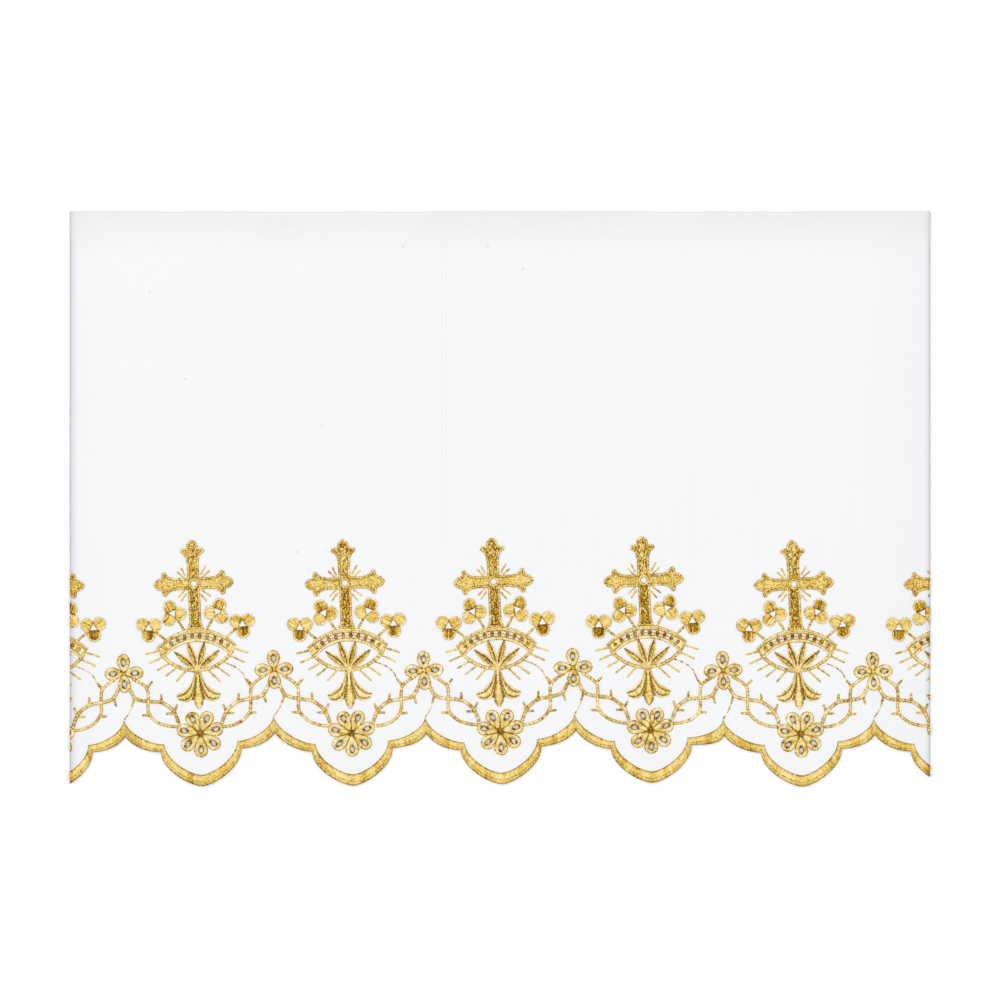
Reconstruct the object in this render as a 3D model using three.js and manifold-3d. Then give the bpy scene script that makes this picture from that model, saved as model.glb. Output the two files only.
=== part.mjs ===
// An altar cloth: a cut length of white linen whose lower edge is scalloped and embroidered in gold thread.
// Millimetres, +Z up. The cloth lies flat and face up on the surface z = 0. X runs along the border, Y runs
// from the scallops towards the plain top edge, and the origin is in the middle of the underside.
import * as THREE from "three";
import { mergeVertices } from "three/addons/utils/BufferGeometryUtils.js";
import Module from "manifold-3d";

const wasm = await Module();
wasm.setup();
const degrees = THREE.MathUtils.degToRad;

// Driving sizes
const CLOTH = { width: 420, depth: 281, thickness: 1.0 };
const STITCH = { lift: 0.3, height: 0.8 }; // the room under a stitched form, and its own thickness
const CLEARANCE = 0.3; // between two stitched forms that meet
const LEAN = degrees(2.6); // every motif is sewn a little turned to the left
const SMALLEST_SCRAP = 2.0; // mm3: what the side cuts leave of a form is kept from this size up
const STEPS = { largeLobe: 6, smallLobe: 4, eyelet: 6, petal: 6, arc: 5 };
const SAME_POINT = 1e-4; // points closer than this are one

// One row for each repeat of the border, left to right: the middle of its large flower, measured from the
// middle of the cloth and from the line of flowers. The cloth's sides cut through the first and the last.
const REPEATS = [
  { x: -219.0, y: -2.9 },
  { x: -146.3, y: -1.0 },
  { x: -72.5, y: -0.7 },
  { x: 0.2, y: 0 },
  { x: 73.5, y: 0.7 },
  { x: 146.8, y: -1.2 },
  { x: 220.0, y: -0.7 },
];

// One row for each small flower between two repeats, measured the same way.
const SMALL_FLOWERS = [
  { x: -183.6, y: 28.3 },
  { x: -110.4, y: 30.3 },
  { x: -37.1, y: 29.8 },
  { x: 35.7, y: 31.3 },
  { x: 108.9, y: 29.8 },
  { x: 182.2, y: 29.3 },
];

// One row for each cusp of the scalloped edge: the ends of each repeat.
const CUSPS = [
  { x: -256.0, y: -2.4 },
  { x: -182.9, y: -2.4 },
  { x: -109.9, y: -0.5 },
  { x: -35.9, y: -1.0 },
  { x: 37.1, y: 0.7 },
  { x: 109.6, y: -2.0 },
  { x: 183.1, y: -1.5 },
  { x: 256.0, y: -1.5 },
];

// The right half of a scallop's large lobe, as one cubic curve for each rail of the stitched edge.
const LARGE_LOBE = {
  outer: { tip: [0, -25.8], belly: [8.0, -24.5], flank: [19.8, -16.2], notch: [19.7, -8.2] },
  inner: { tip: [0, -20.5], belly: [7.2, -18.7], flank: [17.7, -11.9], notch: [17.8, -4.5] },
};

// The small lobe runs on from the notch to the cusp. Its curve leaves the notch level and ends steeply.
const SMALL_LOBE = {
  outer: { levelRun: 5.9, cuspAt: [0, 0], intoCusp: [3.0, -5.1] },
  inner: { levelRun: 7.3, cuspAt: [-0.6, 8.1], intoCusp: [0.7, -5.9] },
};

const CROSS = {
  centre: 73.3, // above the middle of the large flower
  halfWidth: 2.7,
  armReach: 19.5,
  topReach: 21.3,
  postDrop: 21.5,
  footFlare: { height: 2.5, halfWidth: 3.9 },
  eye: 1.4, // radius of the bare spot of cloth where the arms cross
};

// The flared end of an arm, as rows of how far each point lies short of the tip and of its half width.
const ARM_END = [
  { shortOfTip: 11.5, halfWidth: 2.7 },
  { shortOfTip: 8.6, halfWidth: 3.1 },
  { shortOfTip: 6.7, halfWidth: 4.3 },
  { shortOfTip: 5.7, halfWidth: 5.9 },
  { shortOfTip: 4.5, halfWidth: 5.5 },
  { shortOfTip: 4.0, halfWidth: 2.8 },
  { shortOfTip: 1.8, halfWidth: 2.3 },
  { shortOfTip: 0.5, halfWidth: 0.9 },
];

// The arch under the cross lies between two arcs, and a thinner line closes it below like a bowl.
const ARCH = {
  outer: { centre: 24.9, radius: 26.4, halfAngle: 47 },
  inner: { centre: 22.9, radius: 21.8, halfAngle: 47 },
  bowl: { centre: 52.3, radius: 21.5, halfAngle: 55, halfWidth: 0.85 },
};

// Rosettes: petals round a middle, which meet their neighbours at a notch. Each petal is a piece of an ellipse.
const LARGE_FLOWER = {
  petals: 7,
  turn: degrees(-90),
  petalAt: 7.9,
  halfLength: 3.7,
  halfWidth: 3.25,
  notchAt: 5.6,
  eyelet: { at: 8.0, halfLength: 1.7, halfWidth: 1.15 },
};
const SMALL_FLOWER = {
  petals: 4,
  turn: 0,
  petalAt: 5.8,
  halfLength: 3.7,
  halfWidth: 3.1,
  notchAt: 2.2,
  eyelet: { at: 5.4, halfLength: 1.7, halfWidth: 1.15 },
};
const TREFOIL = { petals: 3, petalAt: 3.3, halfLength: 3.1, halfWidth: 3.15, notchAt: 2.9 };
const PETAL_SWEEP = degrees(115); // how far round its ellipse a petal is followed, each way from its tip

// The right-hand trefoils. Each stands round a bare spot of cloth, on a stem that reaches the arch.
const TREFOILS = [
  { middle: [10.8, 59.2], turn: degrees(66), stem: [[9.2, 56.9], [5.2, 50.2]] },
  { middle: [22.9, 52.4], turn: degrees(33), stem: [[20.7, 51.4], [14.3, 46.0]] },
];
const TREFOIL_STEM = { halfWidth: 0.8 };
const BARE_SPOT = { radius: 1.0 };

// The right half of the foot's outline, from its neck down to the tip of the middle lobe.
const FOOT = [
  { x: 2.0, y: 31.4 },
  { x: 2.2, y: 28.4 },
  { x: 2.9, y: 26.0 },
  { x: 5.0, y: 23.2 },
  { x: 8.1, y: 20.7 },
  { x: 10.8, y: 19.2 },
  { x: 9.3, y: 16.7 },
  { x: 6.4, y: 15.7 },
  { x: 3.0, y: 16.6 },
  { x: 2.3, y: 14.3 },
  { x: 0.8, y: 12.3 },
];
const LEAVES = {
  root: [0, 30.9],
  halfWidth: 1.4,
  tips: [[4.0, 43.6], [10.5, 39.6]],
  shape: [
    { share: 0, width: 0.9 },
    { share: 0.6, width: 1.0 },
    { share: 1, width: 0.2 },
  ],
};

// The two right-hand vine stems, from the small flower in to the large one, and the thorns on them.
const VINE = { halfWidth: 0.8 };
const UPPER_STEM = [
  { x: 32.2, y: 27.8 },
  { x: 28.3, y: 25.4 },
  { x: 25.4, y: 22.5 },
  { x: 24.8, y: 17.6 },
  { x: 25.0, y: 12.7 },
  { x: 23.9, y: 9.3 },
  { x: 20.5, y: 5.9 },
  { x: 15.6, y: 3.9 },
  { x: 11.6, y: 3.4 },
];
const LOWER_STEM = [
  { x: 33.7, y: 23.0 },
  { x: 31.7, y: 19.0 },
  { x: 29.1, y: 17.3 },
  { x: 24.4, y: 16.4 },
  { x: 19.0, y: 15.6 },
  { x: 15.1, y: 13.2 },
  { x: 12.5, y: 10.3 },
  { x: 10.9, y: 6.6 },
];
const FLOWER_AT = { x: 36.4, y: 30.5 }; // where both expect the small flower: they bend to where it is
const THORNS = [
  { root: { x: 25.4, y: 23.2 }, tip: { x: 22.9, y: 26.1 } },
  { root: { x: 24.2, y: 9.6 }, tip: { x: 28.0, y: 9.8 } },
  { root: { x: 31.4, y: 18.4 }, tip: { x: 32.5, y: 14.4 } },
  { root: { x: 18.6, y: 15.5 }, tip: { x: 18.9, y: 19.5 } },
  { root: { x: 12.7, y: 10.6 }, tip: { x: 11.1, y: 14.4 } },
  { root: { x: 12.4, y: 10.0 }, tip: { x: 16.6, y: 9.9 } },
];
const THORN = { rootHalfWidth: 0.7, tipHalfWidth: 0.5 };

// Colours
const linen = new THREE.MeshStandardMaterial({ color: 0xf4f4f6, roughness: 0.9, metalness: 0 });
const goldThread = new THREE.MeshStandardMaterial({ color: 0xd9b45c, roughness: 0.45, metalness: 0.3 });

const point = (x, y) => new THREE.Vector2(x, y);

// Closed geometry goes in and out of the boolean library through these functions.
function solidOf(geometry) {
  geometry.deleteAttribute("normal");
  geometry.deleteAttribute("uv");
  const merged = mergeVertices(geometry, SAME_POINT);
  const mesh = new wasm.Mesh({
    numProp: 3,
    vertProperties: new Float32Array(merged.attributes.position.array),
    triVerts: new Uint32Array(merged.index.array),
  });
  return new wasm.Manifold(mesh);
}

function plate(outline, holes, base, height) {
  const shape = new THREE.Shape(outline);
  shape.holes = holes.map((hole) => new THREE.Path(hole));
  const geometry = new THREE.ExtrudeGeometry(shape, { depth: height, bevelEnabled: false });
  geometry.translate(0, 0, base);
  return solidOf(geometry);
}

function meshOf(name, solid, material) {
  const { vertProperties, triVerts } = solid.getMesh();
  const geometry = new THREE.BufferGeometry();
  geometry.setAttribute("position", new THREE.BufferAttribute(vertProperties, 3));
  geometry.setIndex(new THREE.BufferAttribute(triVerts, 1));
  geometry.computeVertexNormals();
  const mesh = new THREE.Mesh(geometry, material);
  mesh.name = name;
  return mesh;
}

const stitched = (outline, holes = []) =>
  plate(outline, holes, CLOTH.thickness + STITCH.lift, STITCH.height);
const joined = (solids) => solids.reduce((whole, next) => whole.add(next));

// A place in a motif's own frame, which stands on its large flower and is turned by LEAN.
function inMotif(index, u, v) {
  const { x, y } = REPEATS[index];
  return point(
    x + u * Math.cos(LEAN) - v * Math.sin(LEAN),
    flowerLine + y + u * Math.sin(LEAN) + v * Math.cos(LEAN),
  );
}

// One rail of the stitched edge, from the tip of a repeat's large lobe to the cusp on one side of it.
function halfRail(rail, index, side) {
  const at = ([u, v]) => inMotif(index, side * u, v);
  const { tip, belly, flank, notch } = LARGE_LOBE[rail];
  const { levelRun, cuspAt, intoCusp } = SMALL_LOBE[rail];
  const cusp = CUSPS[side > 0 ? index + 1 : index];
  const end = point(cusp.x + cuspAt[0], flowerLine + cusp.y + cuspAt[1]);
  const nearEnd = point(end.x - side * intoCusp[0], end.y + intoCusp[1]);
  const level = at([notch[0] + levelRun, notch[1]]);
  const large = new THREE.CubicBezierCurve(at(tip), at(belly), at(flank), at(notch));
  const small = new THREE.CubicBezierCurve(at(notch), level, nearEnd, end);
  return [...large.getPoints(STEPS.largeLobe), ...small.getPoints(STEPS.smallLobe).slice(1)];
}

function railOf(rail) {
  return REPEATS.flatMap((repeat, index) => {
    const left = halfRail(rail, index, -1).reverse();
    const right = halfRail(rail, index, 1).slice(1);
    return index === 0 ? [...left, ...right] : [...left.slice(1), ...right];
  });
}

// The line of large flowers lies where the lowest scallop just reaches the front of the cloth.
let flowerLine = 0;
const onCloth = railOf("outer").filter((p) => Math.abs(p.x) <= CLOTH.width / 2);
flowerLine = -CLOTH.depth / 2 - Math.min(...onCloth.map((p) => p.y));

// Everything is sewn past the cloth's sides, and one block as wide as the cloth cuts it off there.
const CUTTER = { depth: 2 * CLOTH.depth, height: 10 * CLOTH.thickness };
const cutter = solidOf(new THREE.BoxGeometry(CLOTH.width, CUTTER.depth, CUTTER.height));

// Closed outlines
function ellipse(middle, halfLength, halfWidth, angle, steps) {
  return Array.from({ length: steps }, (_, i) => {
    const t = (2 * Math.PI * (i + 0.5)) / steps;
    return point(halfLength * Math.cos(t), halfWidth * Math.sin(t))
      .rotateAround(point(0, 0), angle)
      .add(middle);
  });
}

function ribbon(path, halfWidths) {
  const offset = (i, side) => {
    const before = path[Math.max(i - 1, 0)];
    const after = path[Math.min(i + 1, path.length - 1)];
    const across = after.clone().sub(before).normalize().rotateAround(point(0, 0), Math.PI / 2);
    return path[i].clone().addScaledVector(across, side * halfWidths[i]);
  };
  const left = path.map((_, i) => offset(i, 1));
  const right = path.map((_, i) => offset(i, -1)).reverse();
  return [...left, ...right];
}

function arc(centre, radius, halfAngle, steps, at) {
  return Array.from({ length: steps + 1 }, (_, i) => {
    const angle = degrees(90 + halfAngle * (1 - (2 * i) / steps));
    return at(radius * Math.cos(angle), centre + radius * Math.sin(angle));
  });
}

// Rosettes
const petalAngles = ({ petals, turn }) =>
  Array.from({ length: petals }, (_, i) => turn + LEAN + (2 * Math.PI * i) / petals);

function rosetteOutline(form, middle, grown = 0) {
  const { petals, petalAt, halfLength, halfWidth, notchAt } = form;
  const around = point(0, 0);
  return petalAngles(form).flatMap((angle) => {
    const notch = point(notchAt + grown, 0).rotateAround(around, -Math.PI / petals);
    const petal = Array.from({ length: STEPS.petal }, (_, i) => {
      const t = PETAL_SWEEP * ((2 * i) / (STEPS.petal - 1) - 1);
      return point(petalAt + (halfLength + grown) * Math.cos(t), (halfWidth + grown) * Math.sin(t));
    });
    return [notch, ...petal].map((p) => p.rotateAround(around, angle).add(middle));
  });
}

function eyeletsOf(flower, middle) {
  const { at, halfLength, halfWidth } = flower.eyelet;
  return petalAngles(flower).map((angle) => {
    const centre = point(at, 0).rotateAround(point(0, 0), angle).add(middle);
    return ellipse(centre, halfLength, halfWidth, angle, STEPS.eyelet);
  });
}

const flowerSolid = (flower, middle) => stitched(rosetteOutline(flower, middle), eyeletsOf(flower, middle));

const largeFlowerMiddles = REPEATS.map((_, index) => inMotif(index, 0, 0));
const smallFlowerMiddles = SMALL_FLOWERS.map(({ x, y }) => point(x, flowerLine + y));

// The motif above each large flower
function crossSolid(index) {
  const arms = [
    { reach: CROSS.armReach, turn: 0 },
    { reach: CROSS.topReach, turn: 90 },
    { reach: CROSS.armReach, turn: 180 },
  ];
  const at = (p) => inMotif(index, p.x, CROSS.centre + p.y);
  const armOutline = ({ reach, turn }) => {
    const lower = ARM_END.map(({ shortOfTip, halfWidth }) => point(reach - shortOfTip, -halfWidth));
    const upper = lower.map((p) => point(p.x, -p.y)).reverse();
    return [...lower, point(reach, 0), ...upper].map((p) =>
      p.rotateAround(point(0, 0), degrees(turn)),
    );
  };
  const { halfWidth, postDrop, footFlare } = CROSS;
  const postTop = -postDrop + footFlare.height;
  const post = [
    point(-halfWidth, postTop),
    point(-footFlare.halfWidth, -postDrop),
    point(footFlare.halfWidth, -postDrop),
    point(halfWidth, postTop),
  ];
  const corner = (x, y) => point(x * halfWidth, y * halfWidth);
  const outline = [
    corner(1, -1),
    ...armOutline(arms[0]),
    corner(1, 1),
    ...armOutline(arms[1]),
    corner(-1, 1),
    ...armOutline(arms[2]),
    corner(-1, -1),
    ...post,
  ].map(at);
  const eye = ellipse(at(point(0, 0)), CROSS.eye, CROSS.eye, 0, STEPS.eyelet);
  return stitched(outline, [eye]);
}

// The foot hangs from the root of four leaves, which spread up inside the arch. Grown, it is its own clearance.
function footSolid(index, grown = 0) {
  const root = inMotif(index, ...LEAVES.root);
  const leaves = LEAVES.tips.flatMap(([u, v]) =>
    [-1, 1].map((side) => {
      const tip = inMotif(index, side * u, v);
      const path = LEAVES.shape.map(({ share }) => root.clone().lerp(tip, share));
      const halfWidths = LEAVES.shape.map(({ width }) => width * LEAVES.halfWidth + grown);
      return stitched(ribbon(path, halfWidths));
    }),
  );
  const right = FOOT.map(({ x, y }) => inMotif(index, x + grown, y));
  const left = FOOT.map(({ x, y }) => inMotif(index, -x - grown, y)).reverse();
  return joined([stitched([...right, ...left]), ...leaves]);
}

function trefoilSolid(index, side, { middle, turn, stem }) {
  const at = ([u, v]) => inMotif(index, side * u, v);
  const form = { ...TREFOIL, turn: side > 0 ? turn : Math.PI - turn };
  const bare = ellipse(at(middle), BARE_SPOT.radius, BARE_SPOT.radius, 0, STEPS.eyelet);
  const stalk = ribbon(stem.map(at), [TREFOIL_STEM.halfWidth, TREFOIL_STEM.halfWidth]);
  return stitched(rosetteOutline(form, at(middle)), [bare]).add(stitched(stalk));
}

function archSolid(index) {
  const at = (u, v) => inMotif(index, u, v);
  const { outer, inner, bowl } = ARCH;
  const band = [
    ...arc(outer.centre, outer.radius, outer.halfAngle, STEPS.arc, at),
    ...arc(inner.centre, inner.radius, inner.halfAngle, STEPS.arc, at).reverse(),
  ];
  const bowlPath = arc(bowl.centre, -bowl.radius, bowl.halfAngle, STEPS.arc, at);
  const bowlLine = ribbon(bowlPath, bowlPath.map(() => bowl.halfWidth));
  const trefoils = [-1, 1].flatMap((side) => TREFOILS.map((row) => trefoilSolid(index, side, row)));
  return joined([stitched(band), stitched(bowlLine), ...trefoils]).subtract(footSolid(index, CLEARANCE));
}

// The vine on one side of a repeat isn't turned with it. It bends towards the small flower it grows from.
function vineSolid(index, side, flowerIndex) {
  const repeat = REPEATS[index];
  const flower = SMALL_FLOWERS[flowerIndex];
  const strayX = flower.x - repeat.x - side * FLOWER_AT.x;
  const strayY = flower.y - repeat.y - FLOWER_AT.y;
  const at = ({ x, y }) => {
    const share = THREE.MathUtils.smoothstep(x, LARGE_FLOWER.petalAt, FLOWER_AT.x);
    return point(
      repeat.x + side * x + share * strayX,
      flowerLine + repeat.y + y + share * strayY,
    );
  };
  const stems = [UPPER_STEM, LOWER_STEM].map((rows) =>
    stitched(ribbon(rows.map(at), rows.map(() => VINE.halfWidth))),
  );
  const thorns = THORNS.map(({ root, tip }) =>
    stitched(ribbon([at(root), at(tip)], [THORN.rootHalfWidth, THORN.tipHalfWidth])),
  );
  const flowers = [
    rosetteOutline(LARGE_FLOWER, largeFlowerMiddles[index], CLEARANCE),
    rosetteOutline(SMALL_FLOWER, smallFlowerMiddles[flowerIndex], CLEARANCE),
  ].map((outline) => stitched(outline));
  return joined([...stems, ...thorns]).subtract(joined(flowers));
}

function clothSolid() {
  const edge = railOf("outer");
  const top = CLOTH.depth / 2;
  const outline = [...edge, point(edge.at(-1).x, top), point(edge[0].x, top)];
  const holes = [
    ...largeFlowerMiddles.flatMap((middle) => eyeletsOf(LARGE_FLOWER, middle)),
    ...smallFlowerMiddles.flatMap((middle) => eyeletsOf(SMALL_FLOWER, middle)),
  ];
  return plate(outline, holes, 0, CLOTH.thickness);
}

const edgeSolid = () => stitched([...railOf("outer"), ...railOf("inner").reverse()]);

// The whole cloth
const altarCloth = new THREE.Group();

function sew(name, solid, material) {
  const scraps = solid
    .intersect(cutter)
    .decompose()
    .filter((scrap) => scrap.volume() > SMALLEST_SCRAP)
    .sort((a, b) => b.volume() - a.volume());
  scraps.forEach((scrap, i) => {
    altarCloth.add(meshOf(i ? `${name}_scrap_${i}` : name, scrap, material));
  });
}

sew("cloth", clothSolid(), linen);
sew("scallop_edge", edgeSolid(), goldThread);
REPEATS.forEach((_, index) => {
  sew(`cross_${index}`, crossSolid(index), goldThread);
  sew(`arch_${index}`, archSolid(index), goldThread);
  sew(`foot_${index}`, footSolid(index), goldThread);
  sew(`large_flower_${index}`, flowerSolid(LARGE_FLOWER, largeFlowerMiddles[index]), goldThread);
});
SMALL_FLOWERS.forEach((_, index) => {
  sew(`small_flower_${index}`, flowerSolid(SMALL_FLOWER, smallFlowerMiddles[index]), goldThread);
  sew(`vine_${index}_right`, vineSolid(index, 1, index), goldThread);
  sew(`vine_${index + 1}_left`, vineSolid(index + 1, -1, index), goldThread);
});

export default altarCloth;
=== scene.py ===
# %% [markdown]
# An altar cloth with a gold border.
# The real cloth is a cut length of fine white linen. A machine sewed its border in gold thread: a scalloped
# edge, and above it a row of crosses on arches, with flowers and thorny vines between them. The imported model
# holds each form as a plain solid. This lesson draws the forms again at the same places, as what a sewing
# machine really makes there, which is thread lying beside thread.

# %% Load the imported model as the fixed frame
import math

import bmesh
import bpy
import numpy as np
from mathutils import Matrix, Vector, geometry


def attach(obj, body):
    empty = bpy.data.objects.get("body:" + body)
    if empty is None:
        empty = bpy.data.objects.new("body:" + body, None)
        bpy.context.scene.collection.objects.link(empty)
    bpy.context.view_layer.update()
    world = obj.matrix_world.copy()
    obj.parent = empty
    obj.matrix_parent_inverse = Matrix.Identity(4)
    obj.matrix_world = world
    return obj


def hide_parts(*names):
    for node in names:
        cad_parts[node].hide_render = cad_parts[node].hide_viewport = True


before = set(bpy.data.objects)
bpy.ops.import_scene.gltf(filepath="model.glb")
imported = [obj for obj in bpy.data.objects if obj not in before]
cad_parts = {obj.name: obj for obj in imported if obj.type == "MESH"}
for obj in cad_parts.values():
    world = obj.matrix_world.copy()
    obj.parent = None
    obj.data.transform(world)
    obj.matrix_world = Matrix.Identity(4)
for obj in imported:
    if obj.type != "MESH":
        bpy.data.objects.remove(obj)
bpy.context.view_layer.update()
print("nodes in the frame:", len(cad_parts))

# %% [markdown]
# Millimetres suit needlework better than metres, so every size below is in millimetres and is multiplied by
# MM only when a mesh is written. A place on the cloth is one complex number, x plus y times 1j. Moving a
# place is then an addition and turning it is a multiplication, which keeps the border's geometry short.

# %% Name the driving sizes
MM = 0.001
CLOTH_WIDTH = 420.0
CLOTH_DEPTH = 281.0
LINEN_THICKNESS = 0.45
STITCH_PITCH = 0.42
MOTIF_LEAN = np.exp(1j * math.radians(2.6))
SIDE = CLOTH_WIDTH / 2
TOP = CLOTH_DEPTH / 2

# %% [markdown]
# The photograph looks straight down, without perspective, and the cloth fills 860 of its 1000 pixels. A long
# lens far above the cloth gives nearly the same picture and still works when the camera is moved round.

# %% Put the camera straight above the cloth
PHOTO_PIXELS = 1000
CLOTH_PIXELS = 860
VIEW_WIDTH = CLOTH_WIDTH * PHOTO_PIXELS / CLOTH_PIXELS
VIEW_CENTRE_Y = -0.5
LENS = 200.0
SENSOR = 36.0


def look_down():
    data = bpy.data.cameras.new("camera over the cloth")
    data.lens = LENS
    data.sensor_width = SENSOR
    camera = bpy.data.objects.new("camera over the cloth", data)
    height = VIEW_WIDTH * LENS / SENSOR
    camera.location = (0, VIEW_CENTRE_Y * MM, height * MM)
    bpy.context.collection.objects.link(camera)
    bpy.context.scene.camera = camera
    return height


print("camera height, mm:", round(look_down()))

# %% [markdown]
# The light is that of a copy stand: wide, soft and nearly even, a little stronger from the upper left so
# that each thread keeps a bright and a dark flank. The floor is white paper.

# %% Light the table
WORLD_STRENGTH = 0.865
FLOOR_SIZE = 8.0
LAMPS = [
    {"name": "key lamp", "place": (-1.3, 1.5, 1.7), "size": 1.4, "watts": 15.0},
    {"name": "fill lamp", "place": (1.6, -0.6, 1.9), "size": 1.6, "watts": 6.5},
]


def add_lamp(name, place, size, watts):
    data = bpy.data.lights.new(name, "AREA")
    data.size = size
    data.energy = watts
    lamp = bpy.data.objects.new(name, data)
    lamp.location = place
    lamp.rotation_mode = "QUATERNION"
    lamp.rotation_quaternion = (-Vector(place)).to_track_quat("-Z", "Y")
    bpy.context.collection.objects.link(lamp)


def light_world():
    world = bpy.data.worlds.new("white room")
    world.use_nodes = True
    background = world.node_tree.nodes["Background"]
    background.inputs["Color"].default_value = (1.0, 1.0, 1.0, 1.0)
    background.inputs["Strength"].default_value = WORLD_STRENGTH
    bpy.context.scene.world = world


for row in LAMPS:
    add_lamp(**row)
light_world()
bpy.context.scene.view_settings.view_transform = "Standard"
print("lamps:", [row["name"] for row in LAMPS])

# %% [markdown]
# A material is a small network. These helpers add a node with its settings and join two sockets, so that
# each material below reads as a short list of what feeds what.


# %% Write small helpers for shader networks
def new_node(tree, kind, **settings):
    node = tree.nodes.new(kind)
    for name, value in settings.items():
        setattr(node, name, value)
    return node


def calculate(tree, operation, first, second=None, third=None):
    node = new_node(tree, "ShaderNodeMath", operation=operation)
    for socket, value in zip(node.inputs, (first, second, third)):
        if isinstance(value, (int, float)):
            socket.default_value = value
        elif value is not None:
            tree.links.new(value, socket)
    return node.outputs[0]


def new_group(name, inputs, outputs):
    tree = bpy.data.node_groups.new(name, "ShaderNodeTree")
    for label, value in inputs.items():
        socket = tree.interface.new_socket(label, in_out="INPUT", socket_type="NodeSocketFloat")
        socket.default_value = value
    for label in outputs:
        tree.interface.new_socket(label, in_out="OUTPUT", socket_type="NodeSocketFloat")
    entry = tree.nodes.new("NodeGroupInput")
    leave = tree.nodes.new("NodeGroupOutput")
    return tree, entry, leave


def place_group(tree, group, **values):
    node = new_node(tree, "ShaderNodeGroup", node_tree=group)
    for label, value in values.items():
        node.inputs[label.replace("_", " ")].default_value = value
    return node


def new_material(name):
    material = bpy.data.materials.new(name)
    material.use_nodes = True
    tree = material.node_tree
    return material, tree, tree.nodes["Principled BSDF"]


print("shader helpers are ready")

# %% [markdown]
# Nothing woven or spun is perfectly even. One group gives every material a soft patchiness: a coarse
# noise for slow changes and a fine one for grain, both in real sizes, mixed into one value round zero.


# %% Build the unevenness that all the materials share
def build_unevenness():
    inputs = {"Coarse Size": 30.0, "Fine Size": 1.0, "Fine Share": 0.5}
    tree, entry, leave = new_group("unevenness", inputs, ["Value"])
    place = tree.nodes.new("ShaderNodeTexCoord").outputs["Object"]

    def grain(size_socket):
        texture = new_node(tree, "ShaderNodeTexNoise", noise_dimensions="3D")
        texture.inputs["Detail"].default_value = 2.0
        tree.links.new(place, texture.inputs["Vector"])
        tree.links.new(calculate(tree, "DIVIDE", 1 / MM, size_socket), texture.inputs["Scale"])
        return calculate(tree, "SUBTRACT", texture.outputs["Fac"], 0.5)

    coarse = grain(entry.outputs["Coarse Size"])
    fine = grain(entry.outputs["Fine Size"])
    rest = calculate(tree, "SUBTRACT", 1.0, entry.outputs["Fine Share"])
    coarse_part = calculate(tree, "MULTIPLY", coarse, rest)
    value = calculate(tree, "MULTIPLY_ADD", fine, entry.outputs["Fine Share"], coarse_part)
    tree.links.new(value, leave.inputs["Value"])
    return tree


UNEVENNESS = build_unevenness()
print("group:", UNEVENNESS.name)

# %% [markdown]
# Plain weave is a chequerboard of small bumps: at each crossing the thread on top stands up. The product of
# two sine waves has exactly that relief. Real linen also has slubs, where one thread is thicker for a
# centimetre or two, so a noise that is stretched along each direction of thread thickens some of them.


# %% Build the weave
def build_weave():
    inputs = {"Thread Pitch": 0.36, "Slub Length": 16.0, "Slub Width": 0.5}
    tree, entry, leave = new_group("plain weave", inputs, ["Height", "Slubs"])
    place = tree.nodes.new("ShaderNodeTexCoord").outputs["Object"]
    split = tree.nodes.new("ShaderNodeSeparateXYZ")
    tree.links.new(place, split.inputs[0])

    def wave(axis):
        turns = calculate(tree, "DIVIDE", split.outputs[axis], entry.outputs["Thread Pitch"])
        return calculate(tree, "SINE", calculate(tree, "MULTIPLY", turns, math.pi / MM))

    def slubs(axis, offset):
        along = calculate(tree, "DIVIDE", 1 / MM, entry.outputs["Slub Length"])
        across = calculate(tree, "DIVIDE", 1 / MM, entry.outputs["Slub Width"])
        stretch = tree.nodes.new("ShaderNodeCombineXYZ")
        for name in "XY":
            scale = along if name == axis else across
            part = calculate(tree, "MULTIPLY", split.outputs[name], scale)
            tree.links.new(part, stretch.inputs[name])
        stretch.inputs["Z"].default_value = offset
        texture = new_node(tree, "ShaderNodeTexNoise", noise_dimensions="3D")
        texture.inputs["Scale"].default_value = 1.0
        texture.inputs["Detail"].default_value = 1.0
        tree.links.new(stretch.outputs[0], texture.inputs["Vector"])
        return calculate(tree, "SUBTRACT", texture.outputs["Fac"], 0.5)

    bumps = calculate(tree, "MULTIPLY", wave("X"), wave("Y"))
    thick = calculate(tree, "ADD", slubs("X", 0.0), slubs("Y", 7.0))
    tree.links.new(calculate(tree, "MULTIPLY_ADD", bumps, 0.5, thick), leave.inputs["Height"])
    tree.links.new(thick, leave.inputs["Slubs"])
    return tree


WEAVE = build_weave()
print("group:", WEAVE.name)

# %% [markdown]
# The linen is a cool white with hardly any gloss. Three things break its evenness, and all three stay where
# they are on the cloth: the slubs of the weave, two fine dark threads side by side that run down from the
# top edge, and painted shade, grey towards the cut sides and beige along the top edge. A few specks are husks
# that were spun into the thread. Each becomes a factor that darkens the white a little.

# %% Describe the marks and the painted shade on the linen
LINEN_WHITE = (0.879, 0.884, 0.901, 1.0)
LINEN_MARK_AND_SHADE_GREY = (0.56, 0.55, 0.60, 1.0)
DARK_THREADS = {"x": -27.3, "apart": 1.9, "width": 0.5, "ends_at": -22.0, "strength": 0.15}
SPECKS = [  # x and y of each
    (-153.8, 58.6),
    (-86.9, 35.7),
    (-99.1, -25.9),
    (-47.4, 123.1),
    (-5.9, 123.5),
    (11.2, 112.3),
    (-170.9, 101.1),
]
SPECK_RADIUS = 1.0
SPECK_STRENGTH = 0.6
# Painted shade along the cut sides: a grey that fades inwards from each side.
PAINTED_SHADE_AT_SIDES = [
    {"side": "left", "reach": 1.3, "power": 1.0, "strength": 0.35},
    {"side": "left", "reach": 4.5, "power": 1.6, "strength": 0.66},
    {"side": "left", "reach": 28.0, "power": 1.5, "strength": 0.08},
    {"side": "right", "reach": 0.9, "power": 1.0, "strength": 0.50},
    {"side": "right", "reach": 3.4, "power": 1.5, "strength": 0.62},
    {"side": "right", "reach": 45.0, "power": 1.5, "strength": 0.09},
]
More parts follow.
